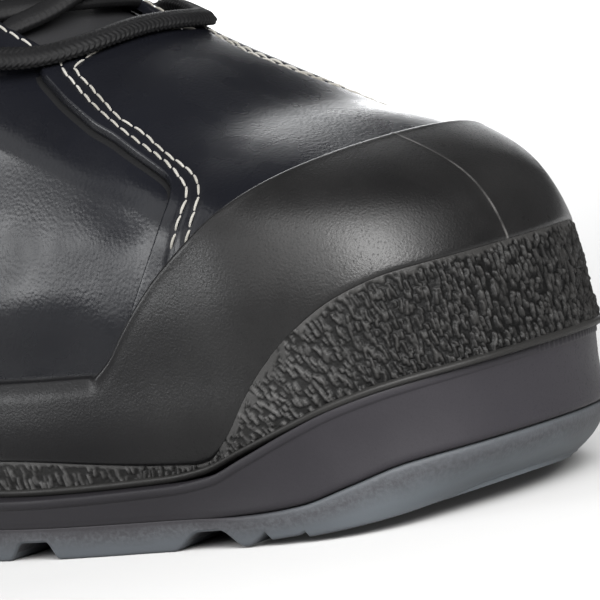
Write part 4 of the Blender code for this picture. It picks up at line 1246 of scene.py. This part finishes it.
def build_midsole(foam):
    """Foamed layer between rib and joint, its lip fluted round the medial toe."""
    coarse = np.linspace(0.0, 1.0, 377)
    fine = np.concatenate([np.linspace(0.0, 0.11, 150), coarse[coarse > 0.1105]])
    share = round_back([coarse, fine])
    side = round_back([np.full(len(coarse), LATERAL), np.full(len(fine), MEDIAL)])
    x = station(side, share)
    groove = joint_open(x)
    bottom = sole["joint"](x) + JOINT_GAP
    high = skin(side, rib_height(side, share), share, 4.5)[:, 2] + 0.12
    tall = high - bottom
    low = bottom - 0.10 * (1 - groove)
    wall_low = low + np.minimum(1.0, 0.3 * tall)
    lip_low = high - np.minimum(2.1, 0.42 * tall)
    rings = [(2.6, low), (4.30 - 0.75 * groove, low)]
    for rise, out in ((0.25, 4.02), (0.6, 4.28), (1.0, 4.38)):
        rings.append((4.38 + (out - 4.38) * groove, low + np.minimum(rise, 0.3 * tall)))
    for t in np.linspace(0.0, 1.0, 18)[1:-1]:
        hollow = 0.30 * np.sin(np.pi * t) * ease(tall, 6.0, 14.0)
        rings.append((4.40 - hollow, wall_low + (lip_low - wall_low) * t))
    run = share * run_at(LATERAL, PLAN_HEIGHT)
    flutes = np.where((side == MEDIAL) & (run < 34.0), 0.10 * (1 + np.cos(run * 2 * np.pi / 1.5)), 0.0)
    for t, out in ((0.0, 4.38), (0.06, 4.40), (0.16, 4.62), (0.3, 4.72), (0.55, 4.75), (0.80, 4.72),
                   (0.94, 4.62), (1.0, 4.42), (1.0, 2.4), (1.0, -2.5)):
        cut = flutes if 0.2 < t < 0.9 else 0.0
        rings.append((out - cut, lip_low + (high - lip_low) * t))
    points = [plan_ring(side, share, *ring) for ring in rings]
    piece("midsole_foam", *sheet(points), [foam], "midsole_foam", ["midsole"])


def tread_depth(x, y, near_side, near_share, from_rim):
    """Part of the lug height, 0 plate to 1 tip, at places under the sole."""
    near_x = skin(near_side, PLAN_HEIGHT, near_share)[..., 0]
    lateral = near_side == LATERAL

    def inside(depth, edge=1.6):
        return 1 - ease(from_rim, depth - edge, depth)

    bridge = BRIDGE_TALL * between(near_x, *BRIDGE_X) * inside(BRIDGE_DEEP, 2.0)
    lugs = [np.where(lateral, bridge, 0.0)]
    for side, start, stop, depth in EDGE_LUGS:
        gentle = 2.5 if start < HEEL_END else 8.0 if start > 200 else 5.5
        lead = 5.0 if start > 245 else 1.6
        along = between(near_x, start - 0.6, start + lead, stop - gentle + 1.5, stop + 1.5)
        lugs.append(np.where(near_side == side, along, 0.0) * inside(depth))
    toe_end = np.where(lateral, LUG_END, MEDIAL_TOE_END)
    for (reach, depth), end, slope in ((TOE_LUG, near_share, toe_end), (BACK_LUG, 1 - near_share, LUG_END)):
        lugs.append((1 - ease(end, reach - slope / OUTLINE_RUN, reach)) * inside(depth))
    for start, stop, half, lean in BAR_LUGS:
        wide = half * (FOREFOOT_HALF if start > HEEL_END else HEEL_HALF)
        part = np.abs(y - float(swing((start + stop) / 2))) / wide
        ahead = x - lean * (0.5 - part)
        along = between(ahead, start - 0.3, start + 1.3, stop - 1.3, stop + 0.3)
        lugs.append(along * (1 - ease(part, 0.94, 1.0)))
    return np.maximum.reduce(lugs)


def build_outsole(rubber):
    """Wall and underside of the tread."""
    count = 560
    shares = np.linspace(0.0, 1.0, count)
    side = np.concatenate([np.full(count, LATERAL), np.full(count - 2, MEDIAL)])
    share = np.concatenate([shares, shares[-2:0:-1]])
    x = station(side, share)
    groove = joint_open(x)
    top = sole["joint"](x) - JOINT_GAP * groove
    tip = sole["tip"](x)
    rim = skin(side, PLAN_HEIGHT, share, RIM_OUT)
    deep = tread_depth(rim[:, 0], rim[:, 1], side, share, np.zeros(len(share)))
    foot = sole["plate"](x) + (tip - sole["plate"](x)) * deep
    toe = toe_corner(side, share, 0.03, 0.11)
    wall_out = 4.30 - 0.25 * groove - 0.5 * toe
    wall_top = top - 0.55
    sideways = SIGN[side] / np.maximum(np.abs(facing_out(side, PLAN_HEIGHT, share)[:, 1]), 0.6)

    def roll_under(z):
        """Part of the way down from the joint to the tips, and how far the wall is rolled in there."""
        down = np.clip((top - z) / np.maximum(top - tip, 1.0), 0.0, 1.0)
        return down, TOE_ROLL * toe * down**2.2

    def rolled(out, roll, full, z):
        """Ring rolled in under the toe; a shallower lug stays farther out, at the same station."""
        ring = plan_ring(side, share, out - full, z)
        ring[:, 1] += sideways * (full - roll)
        return ring

    rows = [plan_ring(side, share, *ring) for ring in (
        (2.4, top), (wall_out - 0.6 * groove, top),
        (wall_out - 0.2 * groove, top - 0.22), (wall_out, wall_top))]
    wall_shade_marks = [np.zeros(len(share))] * len(rows)
    for t in np.linspace(0.0, 1.0, 15)[1:]:
        z = wall_top + (foot + 0.5 - wall_top) * t
        down, roll = roll_under(z)
        full = roll_under(wall_top + (tip + 0.5 - wall_top) * t)[1]
        out = wall_out - 0.55 * deep * t**2.2
        rows.append(rolled(out, roll, full, z))
        wall_shade_marks.append(down)
    for drop, inset in ((0.30, 0.12), (0.12, 0.30), (0.0, 0.62)):
        rows.append(rolled(out - inset, roll, full, foot + drop))
        wall_shade_marks.append(np.ones(len(share)))
    wall = np.array(rows)[::-1]

    tree = KDTree(2 * count)
    for i, p in enumerate(np.concatenate([skin(k, PLAN_HEIGHT, shares, RIM_OUT) for k in BOTH])):
        tree.insert((p[0], p[1], 0.0), i)
    tree.balance()
    bottom = wall[0]
    left = bottom[:count]
    right = np.concatenate([bottom[:1], bottom[:count - 1:-1], bottom[count - 1:count]])
    t = np.linspace(0.0, 1.0, 97)[:, None, None]
    under = left[None] * (1 - t) + right[None] * t
    found = np.array([tree.find((p[0], p[1], 0.0))[1:] for p in under.reshape(-1, 3)])
    near, off = found.T.reshape(2, *under.shape[:2])
    near = near.astype(int)
    depth = tread_depth(under[..., 0], under[..., 1], near // count, shares[near % count], off)
    ux = (under[..., 0] - UNDER_X[0]) / (UNDER_X[1] - UNDER_X[0]) * LENGTH
    plate = sole["plate"](ux)
    inward = np.minimum(t, 1 - t)[..., 0] * np.linalg.norm((right - left)[:, :2], axis=1)
    hold = ease(inward, 0.0, 2.0)
    under[..., 2] = under[..., 2] * (1 - hold) + (plate + (sole["tip"](ux) - plate) * depth) * hold
    points, quads = joined([sheet(wall, closed=True), sheet(under, flipped=True)])
    # Marks for the tread's painted light and shade: low at the wall's top and between lugs, high at the
    # wall's foot and on lug tips.
    values = np.concatenate([np.array(wall_shade_marks)[::-1].ravel(), np.where(depth > 0.5, 0.9, 0.25).ravel()])
    piece("outsole_tread", points, quads, [rubber], "tread_rubber", ["outsole"], values=values)


def build_insole(cloth):
    """Footbed with a low rim."""
    side, share = around(2.2)
    edge = skin(side, BOTTOM + 1.0, share, -(WALL + 1.4))
    middle = swing(edge[:, 0])
    rings = []
    for part, rise in ((1.0, 0.3), (1.0, 3.2), (0.985, 4.0), (0.95, 4.2), (0.88, 3.7), (0.75, 3.5),
                       (0.5, 3.5), (0.25, 3.55), (0.05, 3.6)):
        x = LENGTH / 2 + (edge[:, 0] - LENGTH / 2) * (1 - (1 - part) * 0.12)
        y = middle + (edge[:, 1] - middle) * part
        rings.append(np.stack([x, y, sole["footbed"](x) + rise], axis=1))
    made = piece("insole_pad", *sheet(rings), [cloth], "cloth", ["insole"])


def build_tongue(soft):
    """Padded tongue behind the throat, with a sewn border."""
    half_columns, rows = 30, 90
    taus = np.linspace(-1.0, 1.0, 2 * half_columns + 1)
    below = TONGUE_TO - TONGUE_CORNER
    heights = np.concatenate([np.linspace(TONGUE_FROM, below, rows - 12, endpoint=False),
                              TONGUE_TO - TONGUE_CORNER * (1 - np.sin(np.linspace(0.0, np.pi / 2, 12)))])
    corner = np.clip(TONGUE_CORNER - (TONGUE_TO - heights), 0.0, TONGUE_CORNER)
    half = throat_half(heights) + TONGUE_OVERLAP - TONGUE_CORNER + np.sqrt(TONGUE_CORNER**2 - corner**2)
    parts = np.linspace(0.0, 1.0, half_columns + 1)
    lateral, medial = [np.array([share_at_half(side, heights, half * part) for part in parts])
                       for side in BOTH]
    share = np.concatenate([lateral[::-1], medial[1:]])
    side = np.where(taus <= 0, LATERAL, MEDIAL)[:, None]
    height = np.broadcast_to(heights[None, :], share.shape)
    across = np.abs(taus)[:, None]
    upward = TONGUE_TO - height
    fat = TONGUE_THICK * (0.55 + 0.45 * ease(height, 92.0, 112.0)) * (1 - 0.35 * across**4)
    body = np.minimum(quarter_round((across - 0.86) / 0.14), quarter_round(1 - upward / 4.0))
    border = 0.7 * bell(across - 0.78, 0.035) * ease(upward, 5.0, 9.0)
    border = np.maximum(border, 0.7 * bell(upward - 7.0, 1.2) * (1 - ease(across, 0.72, 0.82)))
    puff = 0.8 * (1 - across**2) * ease(height, 112.0, 135.0) * ease(upward, 7.0, 20.0)
    middle = -(WALL + 0.5) - fat / 2
    front = skin(side, height, share, middle + (fat / 2 + puff - border) * body)
    back = skin(side, height, share, middle - fat / 2 * body)
    points, quads = joined([sheet(front, flipped=True), sheet(back)])
    made = piece("tongue_pad", points, quads, [soft], "cloth", ["tongue"])


def over_throat(number, part):
    """Side, height and share at an eyelet number, also between two, and a place from -1 to 1 across."""
    side = LATERAL if part <= 0 else MEDIAL
    height = EYELET_HEIGHTS[0] + (EYELET_HEIGHTS[1] - EYELET_HEIGHTS[0]) * number / (EYELET_PAIRS - 1)
    reach = float(throat_half(height)) + EYELET_SET_BACK
    return side, height, float(share_at_half(side, height, abs(part) * reach))


def build_eyelets(metal):
    """Turned rings in both facings."""
    profile = ((1.95, -2.4), (1.95, 0.9), (2.15, 1.45), (2.6, 1.75), (3.2, 1.82), (3.9, 1.72), (4.4, 1.4),
               (4.6, 1.0), (4.6, 0.4))
    count = 28
    turn = np.arange(count)[:, None] * 2 * np.pi / count
    for side, name in ((LATERAL, "lateral"), (MEDIAL, "medial")):
        for number in range(EYELET_PAIRS):
            spot = over_throat(number, SIGN[side])
            normal = facing_out(*spot)
            first = unit(np.cross(normal, (0.0, 0.0, 1.0)))
            ring = np.cos(turn) * first + np.sin(turn) * np.cross(normal, first)
            rings = [skin(*spot) + r * ring + z * normal for r, z in profile]
            piece(f"eyelet_ring_{name}_{number + 1}", *sheet(rings, closed=True, flipped=True), [metal],
                  "eyelet_metal", [f"eyelet_{name}_{number + 1}"])


def braid(line, upright, around_count):
    """Oval braided cord along a line, its flat side to the given directions, rounder at its ends."""
    ahead = unit(np.gradient(line, axis=0))
    second = np.zeros_like(line)
    guess = np.cross(ahead[0], (0.0, 1.0, 0.0))
    for i in range(len(line)):
        want = upright[i] - ahead[i] * np.dot(upright[i], ahead[i])
        kept = guess - ahead[i] * np.dot(guess, ahead[i])
        second[i] = unit(unit(kept) + 0.12 * want * np.linalg.norm(want))
        guess = second[i]
    first = np.cross(second, ahead)
    run = run_along(line)
    flat = ease(np.minimum(run, run[-1] - run), 4.0, 13.0)[:, None]
    half_wide = LACE_HALF_ROUND + (LACE_HALF_WIDE - LACE_HALF_ROUND) * flat
    half_thick = LACE_HALF_ROUND + (LACE_HALF_THICK - LACE_HALF_ROUND) * flat
    angle = np.arange(around_count) * 2 * np.pi / around_count
    folds = 4
    fold = np.abs((angle / (2 * np.pi) * folds) % 1.0 - 0.5) * 2
    yarn = run[:, None] / 1.25 + 0.9 * fold
    rise = 0.87 + 0.15 * np.abs(np.sin(np.pi * yarn))**0.7 * (0.45 + 0.55 * np.sin(np.pi * fold))
    points = (line[:, None, :] + (rise * half_wide * np.cos(angle))[..., None] * first[:, None, :]
              + (rise * half_thick * np.sin(angle))[..., None] * second[:, None, :])
    return sheet(points, closed=True, flipped=True)


def lace_strand(path, spacing, around_count):
    """Braided strand through (eyelet number, place across, height over the skin) stops."""
    spots = [over_throat(number, part) for number, part, _ in path]
    points = np.array([skin(*spot, stop[2]) for spot, stop in zip(spots, path)])
    run = run_along(points, 0.6)
    fine = np.linspace(0.0, run[-1], 40 * len(points))
    line = resampled(np.stack([smooth(run, column)(fine) for column in points.T], axis=1), spacing)
    outward = np.array([facing_out(*spot) for spot in spots])
    upright = unit(read_at(outward, run, np.linspace(0.0, run[-1], len(line))))
    return braid(line, upright, around_count)


def build_lace(cord):
    """Bar at the foot of the throat and crossings above it, all through the eyelets."""
    over = PANEL_STEP + LACE_HALF_THICK + 0.8
    half = [(0.0, 1.0, -4.6), (0.0, 1.0, -1.0), (-0.03, 0.985, 2.6), (-0.14, 0.94, over + 0.5),
            (-0.25, 0.82, over + 0.4), (-0.27, 0.68, over + 0.5), (-0.23, 0.45, over + 0.6),
            (-0.18, 0.22, over + 0.6)]
    bar = [(number, -part, out) for number, part, out in half] + [(-0.16, 0.0, over + 0.6)] + half[::-1]
    parts = [lace_strand(bar, 0.19, 56)]
    eyelet = [(0.0, 1.0, -4.6), (0.0, 1.0, -1.0), (0.01, 0.985, 2.6), (0.1, 0.86, over + 0.3),
              (0.24, 0.55, over - 0.4)]
    for first, high, low in ((-1, 4.3, 1.6), (1, 0.8, 0.6)):
        from_under = [(0.30, 0.82, -6.0), (0.345, 0.70, -3.0), (0.385, 0.56, -0.2), (0.44, 0.3, low)]
        dive_under = [(0.20, 0.82, -6.0), (0.26, 0.70, -3.0), (0.32, 0.56, -0.2), (0.40, 0.3, low)]
        for number in range(EYELET_PAIRS - 1):
            start = first if number % 2 == 0 else -first
            rising = eyelet if number else from_under
            falling = eyelet if number == EYELET_PAIRS - 2 else dive_under if number else from_under
            path = rising + [(0.5, 0.0, high)] + [(1.0 - n, -part, out) for n, part, out in falling[::-1]]
            parts.append(lace_strand([(number + n, start * part, out) for n, part, out in path], 0.42, 26))
    piece("lace_cord", *joined(parts), [cord], "lace_cord", ["lace"])


def build_stage():
    """Mid-grey floor that glows by its own emission, none within 0.1 m of the boot and full from 1.3 m:
    painted light that makes it read white away from the boot.
    """
    floor = bpy.data.meshes.new("floor")
    size = 14.0
    corners = [(x * size, y * size, 0.0) for x, y in ((-1, -1), (1, -1), (1, 1), (-1, 1))]
    floor.from_pydata(corners, [], [(0, 1, 2, 3)])
    obj = bpy.data.objects.new("floor", floor)
    bpy.context.scene.collection.objects.link(obj)
    made, tree, shader, place = finish("floor_grey_glowing", {"Roughness": 0.9, "Specular IOR Level": 0.1,
                                                       "Emission Color": (1.0, 1.0, 1.0, 1.0)})
    pale = noise_node(tree, place, 1.5, 2.0)
    away = put(tree, "ShaderNodeVectorMath", {0: place}, operation="LENGTH").outputs["Value"]
    wire(tree, shader, Base_Color=blend(tree, pale, (0.39, 0.39, 0.39), (0.40, 0.40, 0.40)),
         Emission_Strength=spread(tree, away, 0.1, 1.3, 0.0, 1.0))
    floor.materials.append(made)


def area(name, toward, distance, size, power, colour):
    """Soft box in a direction from the boot, facing it."""
    lamp = bpy.data.lights.new(name, "AREA")
    lamp.shape = "RECTANGLE"
    lamp.size, lamp.size_y = size
    lamp.energy = power
    lamp.color = colour
    obj = bpy.data.objects.new(name, lamp)
    bpy.context.scene.collection.objects.link(obj)
    direction = Vector(toward).normalized()
    aim = Vector((0.06, 0.0, 0.05))
    obj.location = aim + direction * distance
    obj.rotation_euler = direction.to_track_quat("Z", "Y").to_euler()


def build_light():
    """Dim room and soft boxes."""
    world = bpy.data.worlds.new("studio")
    bpy.context.scene.world = world
    world.use_nodes = True
    back = world.node_tree.nodes["Background"]
    back.inputs["Color"].default_value = (0.97, 0.985, 1.0, 1.0)
    back.inputs["Strength"].default_value = 0.10
    cool = (0.98, 0.99, 1.0)
    warm = (1.0, 0.995, 0.99)
    area("left_low", (-0.609, -0.752, 0.250), 1.5, (0.75, 0.32), 11.2, cool)
    area("left_high", (-0.507, -0.543, 0.669), 1.5, (0.70, 0.85), 4.7, cool)
    area("back_window", (-0.765, 0.544, 0.34), 1.7, (1.02, 1.30), 17.0, cool)
    area("back_low", (-0.582, 0.801, 0.139), 1.7, (0.42, 0.40), 1.6, cool)
    area("front_wide", (0.600, -0.433, 0.669), 1.5, (2.1, 1.45), 52.0, warm)
    area("front_core", (0.760, -0.353, 0.545), 1.45, (0.64, 0.80), 28.0, warm)
    area("front_side", (-0.03, -0.913, 0.407), 1.5, (0.80, 0.50), 4.0, warm)


def build_camera():
    """Camera at the photograph's angle, turned about its own axis as the photograph is."""
    azimuth, elevation, roll = math.radians(45.0), math.radians(6.5), math.radians(10.0)
    pixel = 1 / 5.0 * MM
    pixels = 600
    toe_in_picture = (532, 345)
    distance = 1.2
    target = Vector((0.150, 0.0, 0.0303))
    back = Vector((math.sin(azimuth) * math.cos(elevation), -math.cos(azimuth) * math.cos(elevation),
                   math.sin(elevation)))
    level = Vector((math.cos(azimuth), math.sin(azimuth), 0.0))
    upright = back.cross(level)
    right = level * math.cos(roll) - upright * math.sin(roll)
    up = level * math.sin(roll) + upright * math.cos(roll)
    aside = (toe_in_picture[0] - pixels / 2) * pixel
    above = (pixels / 2 - toe_in_picture[1]) * pixel
    place = target - right * aside - up * above + back * distance
    data = bpy.data.cameras.new("camera")
    data.sensor_width = 36.0
    data.lens = data.sensor_width * distance / (pixels * pixel)
    data.clip_end = 60.0
    camera = bpy.data.objects.new("camera", data)
    bpy.context.scene.collection.objects.link(camera)
    matrix = Matrix((right, up, back)).transposed().to_4x4()
    matrix.translation = place
    camera.matrix_world = matrix
    bpy.context.scene.camera = camera


leather = leather_finish("black_leather", (0.0030, 0.0032, 0.0045), (0.0048, 0.0051, 0.0068),
                         0.275, 0.22, 0.0)
# Near-black leather of the vamp's cut edge, also used for the painted shadow of the gap beside it.
cut_edge_gap_shade_leather = leather_finish("cut_edge_and_painted_gap_shade", (0.0008, 0.0008, 0.0010), (0.0016, 0.0016, 0.0020),
                             0.75, 0.5, 0.0)
soft_leather = leather_finish("soft_leather", (0.010, 0.010, 0.011), (0.018, 0.018, 0.019),
                              0.52, 0.28, 0.05)
# Black rubber: its darker rear colour is painted shade.
rubber = rubber_finish("black_rubber", (0.0046, 0.0045, 0.0046), (0.0085, 0.0083, 0.0083), 0.32, 0.27, 0.25,
                       {"y": 0.00115, "half": 0.00042, "x": 0.098, "colour": (0.16, 0.155, 0.15)},
                       rear={"x": (0.070, 0.115), "colour": (0.0034, 0.0033, 0.0037), "shine": 0.62})
# Textured band: painted shade in the hollows, and painted light that lightens the rand's strip towards the
# rear.
grain_rubber = rubber_finish("grain_rubber", (0.0165, 0.0161, 0.0156), (0.0240, 0.0235, 0.0228),
                             0.44, 0.35, 0.13, hollow_shade=(0.0018, 0.0018, 0.0018), rear_fill_light=(0.078, 0.077, 0.076))
rib_rubber = rubber_finish("rib_rubber", (0.0120, 0.0117, 0.0113), (0.0170, 0.0166, 0.0160), 0.48, 0.2, 0.2)
# Foam: its darker rear colour is painted shade.
foam = rubber_finish("midsole_foam", (0.0190, 0.0176, 0.0208), (0.0235, 0.0218, 0.0254), 0.50, 0.10, 0.2,
                     rear={"x": (0.085, 0.155), "colour": (0.0098, 0.0091, 0.0108), "shine": 0.8})
tread = tread_finish("tread_rubber")
cream = thread_finish("cream_thread", (0.25, 0.242, 0.222), (0.14, 0.132, 0.112))
black_thread = thread_finish("black_thread", (0.016, 0.016, 0.017), (0.028, 0.028, 0.028))
lining_cloth = cloth_finish("lining_cloth", (0.020, 0.021, 0.023), (0.052, 0.054, 0.058), 0.0011)
insole_cloth = cloth_finish("insole_cloth", (0.030, 0.031, 0.034), (0.075, 0.077, 0.082), 0.0014)
cord_finish = lace_finish("lace_cord")
eyelet_finish = metal_finish("eyelet_metal")

build_camera()
build_stage()
build_light()
build_quarters(leather, lining_cloth)
build_vamp(leather, cut_edge_gap_shade_leather)
build_collar(soft_leather)
build_overcap(rubber, rib_rubber)
build_grain(grain_rubber)
build_midsole(foam)
build_outsole(tread)
build_insole(insole_cloth)
build_tongue(soft_leather)
build_eyelets(eyelet_finish)
build_lace(cord_finish)
seam_stitches(cream)
plain_stitches(black_thread)

settings = bpy.context.scene.view_settings
settings.view_transform = "Standard"
settings.look = "None"
